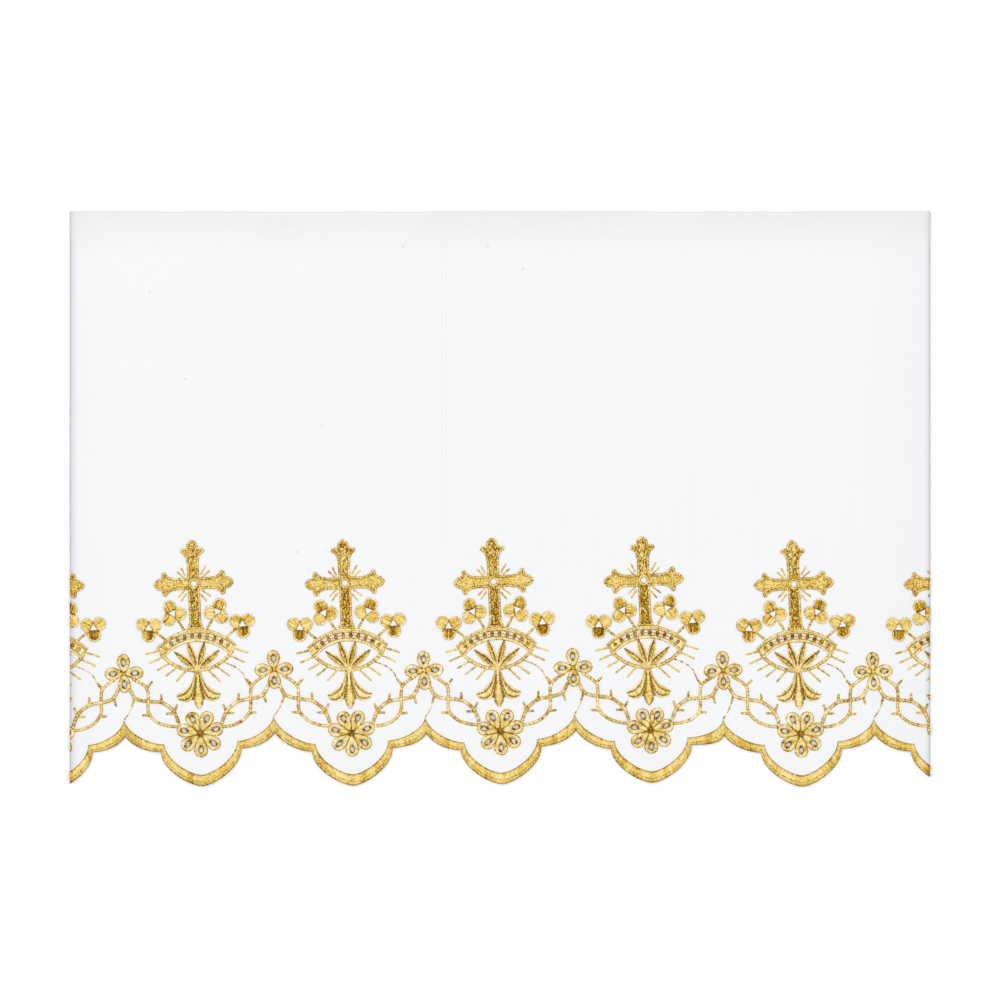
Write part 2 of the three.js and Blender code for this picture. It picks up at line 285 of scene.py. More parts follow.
# Painted shade along the top edge: a beige band that wanders with the patchiness.
PAINTED_SHADE_AT_TOP = {"side": "top", "reach": 24.0, "power": 1.3, "strength": 0.34}
TOP_SHADE_BEIGE = (0.70, 0.66, 0.62, 1.0)


def band(tree, value, middle, half_width):
    away = calculate(tree, "ABSOLUTE", calculate(tree, "SUBTRACT", value, middle * MM))
    near = calculate(tree, "DIVIDE", away, half_width * MM)
    return calculate(tree, "SUBTRACT", 1.0, calculate(tree, "MINIMUM", near, 1.0))


def dark_threads(tree, split):
    half_apart = DARK_THREADS["apart"] / 2
    pair = [
        band(tree, split.outputs["X"], DARK_THREADS["x"] + side * half_apart, DARK_THREADS["width"])
        for side in (-1, 1)
    ]
    both = calculate(tree, "MAXIMUM", *pair)
    above = calculate(tree, "GREATER_THAN", split.outputs["Y"], DARK_THREADS["ends_at"] * MM)
    return calculate(tree, "MULTIPLY", calculate(tree, "MULTIPLY", both, above), DARK_THREADS["strength"])


def speck_mask(tree, place):
    total = None
    for x, y in SPECKS:
        away = new_node(tree, "ShaderNodeVectorMath", operation="DISTANCE")
        away.inputs[1].default_value = (x * MM, y * MM, LINEN_THICKNESS * MM)
        tree.links.new(place, away.inputs[0])
        near = calculate(tree, "DIVIDE", away.outputs["Value"], SPECK_RADIUS * MM)
        spot = calculate(tree, "SUBTRACT", 1.0, calculate(tree, "MINIMUM", near, 1.0))
        total = spot if total is None else calculate(tree, "ADD", total, spot)
    return calculate(tree, "MULTIPLY", total, SPECK_STRENGTH)


def painted_edge_shade(tree, split, side, reach, power, strength, wander=None):
    """Painted shade that falls from strength at one side of the cloth to nothing at reach."""
    if side == "left":
        inwards = calculate(tree, "ADD", split.outputs["X"], SIDE * MM)
    elif side == "right":
        inwards = calculate(tree, "SUBTRACT", SIDE * MM, split.outputs["X"])
    else:
        inwards = calculate(tree, "SUBTRACT", TOP * MM, split.outputs["Y"])
    if wander is not None:
        inwards = calculate(tree, "MULTIPLY_ADD", wander, 0.9 * reach * MM, inwards)
    share = calculate(tree, "DIVIDE", inwards, reach * MM)
    share = calculate(tree, "MINIMUM", calculate(tree, "MAXIMUM", share, 0.0), 1.0)
    fall = calculate(tree, "POWER", calculate(tree, "SUBTRACT", 1.0, share), power)
    return calculate(tree, "MULTIPLY", fall, strength)


print("marks on the linen:", len(SPECKS), "specks and", len(PAINTED_SHADE_AT_SIDES) + 1, "grey rims")

# %% [markdown]
# The linen itself is one matt material. Its marks and its painted shade could be drawn on a picture, but then
# they would blur close up. So each stays a formula of the place on the cloth, and only shifts the colour a
# little.


# %% Mix the linen
def mix_linen():
    material, tree, shader = new_material("white linen")
    place = tree.nodes.new("ShaderNodeTexCoord").outputs["Object"]
    split = tree.nodes.new("ShaderNodeSeparateXYZ")
    tree.links.new(place, split.inputs[0])
    weave = place_group(tree, WEAVE)
    patches = place_group(tree, UNEVENNESS, Coarse_Size=60.0, Fine_Size=4.0, Fine_Share=0.4)
    grey = calculate(tree, "ADD", dark_threads(tree, split), speck_mask(tree, place))
    # Painted shade: the grey along the cut sides.
    for row in PAINTED_SHADE_AT_SIDES:
        grey = calculate(tree, "ADD", grey, painted_edge_shade(tree, split, **row))
    grey = calculate(tree, "MULTIPLY_ADD", weave.outputs["Slubs"], 0.11, grey)
    grey = calculate(tree, "MULTIPLY_ADD", patches.outputs["Value"], 0.10, grey)
    mix = new_node(tree, "ShaderNodeMix", data_type="RGBA")
    mix.inputs["A"].default_value = LINEN_WHITE
    mix.inputs["B"].default_value = LINEN_MARK_AND_SHADE_GREY
    tree.links.new(grey, mix.inputs["Factor"])
    beige = new_node(tree, "ShaderNodeMix", data_type="RGBA")
    beige.inputs["B"].default_value = TOP_SHADE_BEIGE
    tree.links.new(mix.outputs["Result"], beige.inputs["A"])
    # Painted shade: the beige band along the top edge.
    top = painted_edge_shade(tree, split, wander=patches.outputs["Value"], **PAINTED_SHADE_AT_TOP)
    tree.links.new(top, beige.inputs["Factor"])
    bump = tree.nodes.new("ShaderNodeBump")
    bump.inputs["Strength"].default_value = 0.35
    bump.inputs["Distance"].default_value = 0.08 * MM
    tree.links.new(weave.outputs["Height"], bump.inputs["Height"])
    tree.links.new(beige.outputs["Result"], shader.inputs["Base Color"])
    tree.links.new(bump.outputs["Normal"], shader.inputs["Normal"])
    shader.inputs["Roughness"].default_value = 0.9
    shader.inputs["Specular IOR Level"].default_value = 0.25
    return material


LINEN = mix_linen()
print("material:", LINEN.name)

# %% [markdown]
# Gold thread is a plastic foil wound round a core. Its shade and highlight are painted into its colour: the
# dark end of the ramp is an olive brown of painted shade, for thread turned away from the light, and the light
# end a nearly cream painted highlight, for thread facing it. The stitches below store a tone from 0
# to 1 in every corner of the mesh, and the ramp turns the tone into these colours.

# %% Mix the gold thread
GOLD_RAMP = [
    (0.0, (0.150, 0.060, 0.003, 1.0)),
    (0.1, (0.320, 0.145, 0.002, 1.0)),
    (0.25, (0.560, 0.310, 0.008, 1.0)),
    (0.5, (0.870, 0.640, 0.160, 1.0)),
    (0.75, (1.000, 0.830, 0.400, 1.0)),
    (1.0, (1.000, 0.970, 0.800, 1.0)),
]
TONE = "tone"


def mix_gold():
    material, tree, shader = new_material("gold thread")
    tone = new_node(tree, "ShaderNodeAttribute", attribute_name=TONE)
    # The fine grain is partly the foil's own uneven colour and partly painted glints of highlight and shade.
    grain = place_group(tree, UNEVENNESS, Coarse_Size=7.0, Fine_Size=0.8, Fine_Share=0.8)
    value = calculate(tree, "MULTIPLY_ADD", grain.outputs["Value"], 1.2, tone.outputs["Fac"])
    ramp = tree.nodes.new("ShaderNodeValToRGB")
    stops = ramp.color_ramp.elements
    while len(stops) < len(GOLD_RAMP):
        stops.new(0.5)
    for stop, (position, colour) in zip(stops, GOLD_RAMP):
        stop.position = position
        stop.color = colour
    tree.links.new(value, ramp.inputs["Fac"])
    tree.links.new(ramp.outputs["Color"], shader.inputs["Base Color"])
    rough = calculate(tree, "MULTIPLY_ADD", value, -0.2, 0.55)
    tree.links.new(rough, shader.inputs["Roughness"])
    shader.inputs["Metallic"].default_value = 0.2
    shader.inputs["Specular IOR Level"].default_value = 0.15
    return material


GOLD = mix_gold()
print("material:", GOLD.name)

# %% [markdown]
# The cloth lies on plain white paper. Paper is nearly even and quite matt, so one pale grey with a faint
# unevenness and almost no gloss is enough. It only stages the cloth and isn't one of its pieces.


# %% Mix the white paper of the floor
def mix_paper():
    material, tree, shader = new_material("white paper")
    patches = place_group(tree, UNEVENNESS, Coarse_Size=400.0, Fine_Size=20.0, Fine_Share=0.2)
    shade = calculate(tree, "MULTIPLY_ADD", patches.outputs["Value"], 0.02, 0.97)
    colour = tree.nodes.new("ShaderNodeCombineColor")
    for name in ("Red", "Green", "Blue"):
        tree.links.new(shade, colour.inputs[name])
    tree.links.new(colour.outputs["Color"], shader.inputs["Base Color"])
    shader.inputs["Roughness"].default_value = 0.95
    shader.inputs["Specular IOR Level"].default_value = 0.1
    return material


def lay_floor():
    mesh = bpy.data.meshes.new("floor")
    half = FLOOR_SIZE / 2
    corners = [(-half, -half, 0), (half, -half, 0), (half, half, 0), (-half, half, 0)]
    mesh.from_pydata(corners, [], [(0, 1, 2, 3)])
    mesh.materials.append(mix_paper())
    floor = bpy.data.objects.new("floor", mesh)
    floor.location.z = -0.02 * MM
    bpy.context.collection.objects.link(floor)
    return floor


print("lies under the cloth:", lay_floor().name)

# %% [markdown]
# The border repeats every 73 mm, but the cloth was guided by hand, so each repeat wanders a little. One row
# below stands for each repeat and gives the middle of its large flower; the sides of the cloth cut through
# the first and the last. A motif is drawn once, upright on its flower, and every copy leans to the left.
# The places of the flowers and of the cusps were measured in a picture of a real cloth.

# %% Lay out the border
REPEATS = np.array(
    [-219.0 - 2.9j, -146.3 - 1.0j, -72.5 - 0.7j, 0.2, 73.5 + 0.7j, 146.8 - 1.2j, 220.0 - 0.7j]
)
SMALL_FLOWERS = np.array(
    [-183.6 + 28.3j, -110.4 + 30.3j, -37.1 + 29.8j, 35.7 + 31.3j, 108.9 + 29.8j, 182.2 + 29.3j]
)
LEFT_CUSPS = [-256.0 - 2.4j, -182.9 - 2.4j, -109.9 - 0.5j, -35.9 - 1.0j]
RIGHT_CUSPS = [37.1 + 0.7j, 109.6 - 2.0j, 183.1 - 1.5j, 256.0 - 1.5j]
CUSPS = np.array(LEFT_CUSPS + RIGHT_CUSPS)
LARGE_LOBE = {
    "outer": [-25.8j, 7.8 - 25.0j, 19.8 - 16.2j, 19.7 - 8.2j],
    "inner": [-20.2j, 6.2 - 19.9j, 17.7 - 11.9j, 17.8 - 4.5j],
}
SMALL_LOBE = {
    "outer": {"level_run": 5.9, "cusp_at": 0.0, "into_cusp": (3.0, -5.1)},
    "inner": {"level_run": 7.3, "cusp_at": -0.6 + 8.1j, "into_cusp": (0.7, -5.9)},
}


def bezier(first, second, third, last, steps):
    t = np.linspace(0, 1, steps + 1)
    s = 1 - t
    return s**3 * first + 3 * s**2 * t * second + 3 * s * t**2 * third + t**3 * last


def mirrored(places, side):
    places = np.asarray(places)
    return side * places.real + 1j * places.imag


def half_rail(rail, index, side, steps):
    at = lambda place: REPEATS[index] + mirrored(place, side) * MOTIF_LEAN
    tip, belly, flank, notch = LARGE_LOBE[rail]
    small = SMALL_LOBE[rail]
    cusp = CUSPS[index + 1 if side > 0 else index] + small["cusp_at"]
    run, rise = small["into_cusp"]
    large_part = bezier(at(tip), at(belly), at(flank), at(notch), steps)
    level = at(notch + small["level_run"])
    small_part = bezier(at(notch), level, cusp - side * run + 1j * rise, cusp, steps)
    return np.concatenate([large_part, small_part[1:]])


def whole_rail(rail, steps=24):
    halves = []
    for index in range(len(REPEATS)):
        halves.append(half_rail(rail, index, -1, steps)[::-1])
        halves.append(half_rail(rail, index, 1, steps)[1:])
    joined = np.concatenate(halves)
    keep = np.concatenate([[True], abs(np.diff(joined)) > 1e-6])
    return joined[keep]


edge_line = whole_rail("outer")
FLOWER_LINE = -TOP - edge_line[abs(edge_line.real) <= SIDE].imag.min()
REPEATS = REPEATS + 1j * FLOWER_LINE
SMALL_FLOWERS = SMALL_FLOWERS + 1j * FLOWER_LINE
CUSPS = CUSPS + 1j * FLOWER_LINE


def in_motif(index, places):
    return REPEATS[index] + np.asarray(places) * MOTIF_LEAN


print("line of large flowers, mm from the middle:", round(FLOWER_LINE, 2))

# %% [markdown]
# Even on a table the linen isn't flat. Long shallow waves remain from the bolt, the tight stitching draws
# fine upright puckers into the cloth above the crosses, and the cut sides lift a little. One function
# gives the height of the underside anywhere. The cloth and every stitch ask it, so they always agree.

# %% Describe how the linen lies
LONG_WAVE = {"rest": 0.14, "height": 0.08, "across": 31, "along": 26}
RIPPLE = {"height": 0.05, "across": 9.7, "along": 21, "from": -120, "to": -60}
PUCKERS_LEFT = [-52.7, -47.9, -44.0, -26.9, -18.6, -12.2, -4.9]
PUCKERS_RIGHT = [0.0, 12.2, 15.6, 19.5, 29.3, 44.9, 92.8, 123.1, 139.2, 168.5, 178.3]
PUCKERS = PUCKERS_LEFT + PUCKERS_RIGHT
PUCKER = {"half_width": 1.1, "height": 0.26, "bottom": -37.0, "top": 29.0, "fade": 18.0}
CURL = {"reach": 4.0, "height": 0.1}


def fade(value, start, end):
    share = np.clip((value - start) / (end - start), 0, 1)
    return share * share * (3 - 2 * share)


def lie_of_linen(places):
    x, y = np.real(places), np.imag(places)
    swell = np.sin(x / LONG_WAVE["across"] + 1.3) * np.cos(y / LONG_WAVE["along"] + 0.4)
    waves = LONG_WAVE["rest"] + LONG_WAVE["height"] * swell
    ripple = RIPPLE["height"] * np.sin(x / RIPPLE["across"] + y / RIPPLE["along"] + 2.0)
    waves = waves + ripple * fade(y, RIPPLE["from"], RIPPLE["to"])
    ridge = sum(np.exp(-(((x - middle) / PUCKER["half_width"]) ** 2)) for middle in PUCKERS)
    low = fade(y, PUCKER["bottom"] - PUCKER["fade"], PUCKER["bottom"] + PUCKER["fade"])
    high = 1 - fade(y, PUCKER["top"] - PUCKER["fade"], PUCKER["top"] + PUCKER["fade"])
    puckers = PUCKER["height"] * ridge * low * high
    lift = fade(abs(x), SIDE - CURL["reach"], SIDE)
    return waves + puckers + CURL["height"] * lift


sample = lie_of_linen(np.linspace(-SIDE, SIDE, 500))
print("underside along the middle, mm:", round(sample.min(), 2), "to", round(sample.max(), 2))

# %% [markdown]
# Every flower petal is pierced by an eyelet, which is a real hole through the cloth. A petal and its eyelet
# share one angle that runs round both, so the thread between them is simply the line from one to the other.

# %% Draw the flowers
LARGE_FLOWER = {"petals": 7, "turn": -90, "at": 8.0, "front": 3.6, "back": 7.0}
LARGE_FLOWER |= {"half_width": 3.45, "pinch": 0.5}
SMALL_FLOWER = {"petals": 4, "turn": 0, "at": 5.4, "front": 4.1, "back": 5.0}
SMALL_FLOWER |= {"half_width": 3.25, "pinch": 0.35}
EYELET = {"half_length": 1.8, "half_width": 1.0}


def petal_turns(flower):
    steps = np.arange(flower["petals"]) / flower["petals"]
    return np.exp(1j * (math.radians(flower["turn"]) + 2 * math.pi * steps)) * MOTIF_LEAN


def petal_rails(flower, middle, turn, steps=40, grown=0.0):
    t = np.linspace(0, 2 * math.pi, steps, endpoint=False)
    along, across = np.cos(t), np.sin(t)
    eyelet = (EYELET["half_length"] + grown) * along + 1j * (EYELET["half_width"] + grown) * across
    reach = np.where(along > 0, flower["front"], flower["back"])
    narrowing = 1 - flower["pinch"] * np.maximum(0, -along)
    petal = reach * along + 1j * flower["half_width"] * across * narrowing
    return middle + (flower["at"] + eyelet) * turn, middle + (flower["at"] + petal) * turn


def all_eyelets(steps=16, grown=0.12):
    for flower, middles in ((LARGE_FLOWER, REPEATS), (SMALL_FLOWER, SMALL_FLOWERS)):
        for middle in middles:
            for turn in petal_turns(flower):
                hole = petal_rails(flower, middle, turn, steps, grown)[0]
                if abs(hole.real).max() < SIDE - 1:
                    yield hole


EYELETS = list(all_eyelets())
print("eyelets in the cloth:", len(EYELETS))

# %% [markdown]
# The linen itself is one thin sheet with a true outline, true holes and two faces. A constrained Delaunay
# triangulation joins an even grid of points to the outline and to each eyelet without any boolean. The
# triangles inside the eyelets are then left out, and the sheet is closed with a wall round every rim.

# %% Outline the sheet of linen
GRID = 2.6
GRID_ACROSS = 1.0
GRID_ALONG = 4.5
RIM_CLEARANCE = 0.9
EDGE_INSET = 0.25
EDGE_STEPS = 9  # points along each curve of the cut edge


def inside(outline, places):
    ends = np.roll(outline, -1)
    found = np.zeros(len(places), dtype=bool)
    for a, b in zip(outline, ends):
        if a.imag == b.imag:
            continue
        spans = (a.imag > places.imag) != (b.imag > places.imag)
        cut = a.real + (places.imag - a.imag) * (b.real - a.real) / (b.imag - a.imag)
        found ^= spans & (places.real < cut)
    return found


def cut_edge():
    return whole_rail("outer", EDGE_STEPS) + 1j * EDGE_INSET


def where_side_meets_edge(side):
    line = cut_edge()
    order = np.argsort(line.real)
    return complex(side, np.interp(side, line.real[order], line.imag[order]))


def sheet_outline():
    edge = cut_edge()
    edge = edge[abs(edge.real) < SIDE - 0.2]
    ends = [where_side_meets_edge(-SIDE), where_side_meets_edge(SIDE)]
    rise = np.arange(ends[1].imag + GRID, TOP - GRID / 2, GRID)
    across = np.arange(SIDE, -SIDE - 0.01, -GRID)
    fall = np.arange(TOP - GRID, ends[0].imag + GRID / 2, -GRID)
    return np.concatenate(
        [ends[:1], edge, ends[1:], SIDE + 1j * rise, across + 1j * TOP, [-SIDE + 1j * TOP], -SIDE + 1j * fall]
    )


def grid_points(outline):
    xs = np.arange(-SIDE + GRID_ACROSS, SIDE, GRID_ACROSS)
    ys = np.arange(-TOP + GRID_ALONG / 2, TOP, GRID_ALONG)
    places = (xs[None, :] + 1j * ys[:, None]).ravel()
    places = places[inside(outline, places)]
    rims = np.concatenate([outline, *EYELETS])
    near = np.zeros(len(places), dtype=bool)
    for rim in rims:
        near |= abs(places - rim) < RIM_CLEARANCE
    return places[~near]


print("points round the linen:", len(sheet_outline()))

# %% [markdown]
# With the outline, the eyelets and the points between them, the sheet can be woven. Both faces use the same
# triangles, one turned over, so the linen has a real thickness and no open rim.


# %% Weave the sheet of linen
def triangulate(outline):
    free = grid_points(outline)
    loops = [outline, *EYELETS]
    places = np.concatenate([*loops, free])
    edges, start = [], 0
    for loop in loops:
        count = len(loop)
        edges += [(start + i, start + (i + 1) % count) for i in range(count)]
        start += count
    corners = [Vector((p.real, p.imag)) for p in places]
    made = geometry.delaunay_2d_cdt(corners, edges, [list(range(len(outline)))], 1, 1e-4)
    places = np.array([complex(v.x, v.y) for v in made[0]])
    triangles = np.array(made[2])
    middles = places[triangles].mean(axis=1)
    holes = np.zeros(len(middles), dtype=bool)
    for hole in EYELETS:
        close = abs(middles - hole.mean()) < 4
        holes[close] |= inside(hole, middles[close])
    return places, triangles[~holes]


def closed_sheet(places, triangles):
    count = len(places)
    under = lie_of_linen(places)
    low = np.column_stack([places.real, places.imag, under])
    high = np.column_stack([places.real, places.imag, under + LINEN_THICKNESS])
    sides = np.concatenate([triangles[:, [0, 1]], triangles[:, [1, 2]], triangles[:, [2, 0]]])
    known = {tuple(side) for side in sides}
    rims = [(a, b) for a, b in known if (b, a) not in known]
    faces = [*(triangles + count).tolist(), *triangles[:, ::-1].tolist()]
    faces += [(int(a), int(b), int(b) + count, int(a) + count) for a, b in rims]
    return np.concatenate([low, high]) * MM, faces


def new_piece(name, corners, faces, material):
    mesh = bpy.data.meshes.new(name)
    mesh.from_pydata(corners.tolist(), [], faces)
    mesh.materials.append(material)
    mesh.shade_smooth()
    piece = bpy.data.objects.new(name, mesh)
    bpy.context.collection.objects.link(piece)
    return piece


def weave_sheet():
    outline = sheet_outline()
    places, triangles = triangulate(outline)
    corners, faces = closed_sheet(places, triangles)
    piece = new_piece("linen_sheet", corners, faces, LINEN)
    piece.data.set_sharp_from_angle(angle=math.radians(40))
    ends = places[triangles]
    legs = (ends[:, 1] - ends[:, 0]).conj() * (ends[:, 2] - ends[:, 0])
    return piece, abs(legs.imag).sum() / 2


linen, linen_area = weave_sheet()
print("linen: faces", len(linen.data.polygons), "area, square mm", round(linen_area))

# %% [markdown]
# Satin stitch is thread laid to and fro between two lines, so close that it hides the cloth. A smooth
# ribbon wouldn't look like it, because the light breaks on each thread. So a satin form is a grid of
# corners: its columns are in turn the crest of a thread and the groove beside it, and its rows run
# along the thread from one line to the other, over a low dome, and back underneath. The functions here
# divide two lines at the pitch of the threads, and lay level lines across an outline.

# %% Lay threads across a form
GROOVE = 0.13
END_INSET = 0.10
# Dark dots of painted shade in the needle holes at the ends of some threads.
NEEDLE_HOLE_SHADE = {"share": 0.4, "length": 3}
SINK = 0.03
SIDE_SHADE = {"reach": 2.5, "depth": 0.2}
STITCH_SECTION = np.array([-1.0 + 0.0j, -0.55 + 0.85j, 0.55 + 0.85j, 1.0 + 0.0j])


def resampled(rail_a, rail_b, pitch, ring):
    if ring:
        rail_a = np.append(rail_a, rail_a[0])
        rail_b = np.append(rail_b, rail_b[0])
    steps = np.maximum(abs(np.diff(rail_a)), abs(np.diff(rail_b)))
    along = np.concatenate([[0], np.cumsum(steps)])
    threads = max(2, round(along[-1] / pitch))
    wanted = np.linspace(0, along[-1], 2 * threads + 1)
    if ring:
        wanted = wanted[:-1]
    pick = lambda rail: np.interp(wanted, along, rail.real) + 1j * np.interp(wanted, along, rail.imag)
    return pick(rail_a), pick(rail_b)


def chords(outline, angle, pitch):
    """The stretches of evenly spaced parallel lines that lie inside an outline."""
    turn = np.exp(1j * math.radians(angle))
    turned = outline / turn
    following = np.roll(turned, -1)
    levels = np.arange(turned.imag.min() + pitch / 2, turned.imag.max(), pitch)
    for number, level in enumerate(levels):
        crossing = (turned.imag > level) != (following.imag > level)
        a, b = turned[crossing], following[crossing]
        cuts = np.sort(a.real + (level - a.imag) * (b.real - a.real) / (b.imag - a.imag))
        for start, end in zip(cuts[::2], cuts[1::2]):
            yield number, (start + 1j * level) * turn, (end + 1j * level) * turn


print("threads of satin in a centimetre:", round(10 / STITCH_PITCH))

# %% [markdown]
# A sewing machine knows few stitches, and the class knows the same: satin between two lines, satin that
# fills an outline, single run stitches, and rows of them like brickwork. One object could be made for each
# thread, but thousands of objects are slow. So all the threads of a form become one mesh, and each thread's
# tone, its own colour with painted shade added in grooves, at thread ends and in needle holes, is kept in an
# attribute that the gold material reads.


# %% Set up the sewing machine
class Sewing:
    def __init__(self, seed):
        self.corners, self.faces, self.tones = [], [], []
        self.count = 0
        self.chance = np.random.default_rng(seed)

    def add_grid(self, places, heights, tones, ring):
        """Rows go round each section, columns go from section to section."""
        rows, columns = places.shape
        index = self.count + np.arange(rows * columns).reshape(rows, columns)
        below = np.roll(index, -1, axis=0)
        if ring:
            quads = np.stack([index, below, np.roll(below, -1, 1), np.roll(index, -1, 1)], axis=-1)
        else:
            quads = np.stack([index[:, :-1], below[:, :-1], below[:, 1:], index[:, 1:]], axis=-1)
            self.faces += [index[::-1, 0].tolist(), index[:, -1].tolist()]
        self.faces += quads.reshape(-1, 4).tolist()
        self.corners.append(np.column_stack([places.real.ravel(), places.imag.ravel(), heights.ravel()]))
        self.tones.append(np.clip(tones, 0, 1).ravel())
        self.count += rows * columns

    def satin(self, rail_a, rail_b, tone=0.6, spread=0.10, dome=0.45, lift=0.0, rows=4, **options):
        """Thread between two lines. A tone may be one number or a pair, for its two ends."""
        ring, pitch = options.get("ring", False), options.get("pitch", STITCH_PITCH)
        a, b = np.asarray(rail_a), np.asarray(rail_b)
        if pitch:
            a, b = resampled(a, b, pitch, ring)
        forward = np.diff(a + b)
        if (((b - a)[:-1]).conj() * forward).imag.sum() < 0:
            a, b = b, a
            tone = tone[::-1] if isinstance(tone, tuple) else tone
        columns = len(a)
        crest = np.arange(columns) % 2 == 1
        length = np.maximum(abs(b - a), 1e-3)
        inset = np.where(crest, self.chance.normal(0, 0.04, columns), END_INSET) / length
        inset = np.minimum(inset, 0.3)
        t = np.linspace(0, 1, rows + 1)[:, None]
        places = a + (b - a) * (inset + (1 - 2 * inset) * t)
        swell = 1 - abs(2 * t - 1) ** 3
        wobble = np.where(crest, self.chance.normal(0, 0.025, columns), -GROOVE)
        ground = lie_of_linen(places) + LINEN_THICKNESS
        heights = ground + 0.14 + lift + dome * swell + wobble * (0.35 + 0.65 * swell)
        foot_a = np.full((1, columns), options["wrap_a"]) if "wrap_a" in options else ground[:1] - SINK
        foot_b = np.full((1, columns), options["wrap_b"]) if "wrap_b" in options else ground[-1:] - SINK
        ends = tone if isinstance(tone, tuple) else (tone, tone)
        marks = self.chance.normal(0, options.get("patches", 0.08), columns // 12 + 2)
        patches = np.interp(np.linspace(0, len(marks) - 1, columns), np.arange(len(marks)), marks)
        shade = ends[0] + (ends[1] - ends[0]) * t + self.chance.normal(0, spread, columns) + patches
        # The grooves between threads are painted 0.14 darker, as shade; the random part is the threads' own
        # uneven tone.
        shade = shade + self.chance.normal(0, 0.6 * spread, shade.shape) - np.where(crest, 0, 0.14)
        # Painted shade: the threads darken towards both ends, where they dive into the cloth.
        depth = options.get("rim_dark", 0.26) * min(1, length.mean() / 1.5)
        shade = shade - depth * (abs(2 * t - 1) ** 4)
        # Painted shade in the needle holes: dark dots at the ends of some threads.
        holes = self.chance.random((2, columns // NEEDLE_HOLE_SHADE["length"] + 1)) < NEEDLE_HOLE_SHADE["share"]
        shade[[0, -1]] -= 1.5 * depth * np.repeat(holes, NEEDLE_HOLE_SHADE["length"], axis=1)[:, :columns]
        # The rows that go down into the cloth are painted 0.2 darker, as shade.
        self.add_grid(
            np.concatenate([places[:1], places, places[-1:]]),
            np.concatenate([foot_a, heights, foot_b]),
            np.concatenate([shade[:1] - 0.2, shade, shade[-1:] - 0.2]),
            ring,
        )

    def satin_line(self, path, half_width, ring=False, **options):
        """Satin along a path, as wide on its left as on its right."""
        if ring:
            along = np.roll(path, -1) - np.roll(path, 1)
        else:
            along = np.gradient(path)
        across = 1j * along / np.maximum(abs(along), 1e-6)
        width = np.asarray(half_width)
        self.satin(path + across * width, path - across * width, ring=ring, **options)

    def satin_fill(self, outline, angle, **options):
        """Parallel threads across a whole outline."""
        ends = {}
        for number, start, end in chords(outline, angle, STITCH_PITCH / 2):
            if number not in ends or abs(end - start) > abs(ends[number][1] - ends[number][0]):
                ends[number] = (start, end)
        if len(ends) > 2:
            rails = np.array([ends[number] for number in sorted(ends)])
            self.satin(rails[:, 0], rails[:, 1], pitch=None, **options)

    def stitch(self, start, end, half_width=0.34, height=0.34, tone=0.55, lift=0.0):
        """One short stitch: a thread that dives into the cloth at both ends."""
        t = np.array([0.0, 0.25, 0.75, 1.0])
        girth = np.array([0.35, 1.0, 1.0, 0.35])
        line = start + (end - start) * t
        across = 1j * (end - start) / max(abs(end - start), 1e-6)
        section = STITCH_SECTION[:, None]
        places = line + across * half_width * section.real * girth
        ground = lie_of_linen(line) + LINEN_THICKNESS
        heights = ground - SINK + lift + height * section.imag * girth
        # Painted shade: the stitch is darker where it dives at its ends and on its low flanks.
        shade = tone - 0.18 * (1 - girth) - 0.10 * (1 - section.imag)
        self.add_grid(places[::-1], heights[::-1], np.broadcast_to(shade, places.shape)[::-1], False)

    def run(self, path, stitch=1.15, gap=0.12, tone=0.55, spread=0.18, **options):
        """Run stitches end to end along a path."""
        along = np.concatenate([[0], np.cumsum(abs(np.diff(path)))])
        count = max(1, round(along[-1] / stitch))
        marks = np.linspace(0, along[-1], count + 1)
        at = lambda s: np.interp(s, along, path.real) + 1j * np.interp(s, along, path.imag)
        for first, last in zip(marks, marks[1:]):
            shade = tone + self.chance.normal(0, spread)
            self.stitch(at(first + gap / 2), at(last - gap / 2), tone=shade, **options)

    def brickwork(self, outline, angle, row_pitch=0.45, stitch=2.4, **options):
        """Rows of run stitches that fill an outline, each row shifted by chance."""
        for _, start, end in chords(outline, angle, row_pitch):
            length = abs(end - start)
            if length < 0.8:
                continue
            shift = self.chance.random() * stitch
            marks = np.arange(shift - stitch, length, stitch)
            marks = np.unique(np.clip([0, *marks, length], 0, length))
            marks = marks[np.concatenate([[True], np.diff(marks) > 0.5])]
            way = (end - start) / length
            for first, last in zip(marks, marks[1:]):
                self.run(np.array([start + way * first, start + way * last]), stitch=2 * stitch, **options)

    def finish(self, name, material=None):
        """Turns the gathered threads into a piece, cut off at the sides of the cloth."""
        corners = np.concatenate(self.corners)
        piece = new_piece(name, corners * MM, self.faces, material or GOLD)
        tones = piece.data.attributes.new(TONE, "FLOAT", "POINT")
        shade = SIDE_SHADE["depth"] * fade(abs(corners[:, 0]), SIDE - SIDE_SHADE["reach"], SIDE)
        tones.data.foreach_set("value", np.concatenate(self.tones) - shade)
        if abs(corners[:, 0]).max() > SIDE:
            cut_at_sides(piece)
        return piece


print("kinds of stitch: satin, satin fill, run, brickwork")

# %% [markdown]
# The cloth was cut from a longer one after it was sewn, so its sides cut straight through the stitches. The
# finished piece is cut in the same way, and its open threads are closed again. Then it is handed over with
# the names of the solids that it takes the place of.


# %% Cut the pieces at the sides and hand them over
def cut_at_sides(piece):
    work = bmesh.new()
    work.from_mesh(piece.data)
    for side in (-1, 1):
        parts = [*work.verts, *work.edges, *work.faces]
        cut = bmesh.ops.bisect_plane(
            work, geom=parts, plane_co=(side * SIDE * MM, 0, 0), plane_no=(side, 0, 0), clear_outer=True
        )
        rim = [part for part in cut["geom_cut"] if isinstance(part, bmesh.types.BMEdge)]
        bmesh.ops.holes_fill(work, edges=rim, sides=0)
    work.to_mesh(piece.data)
    work.free()


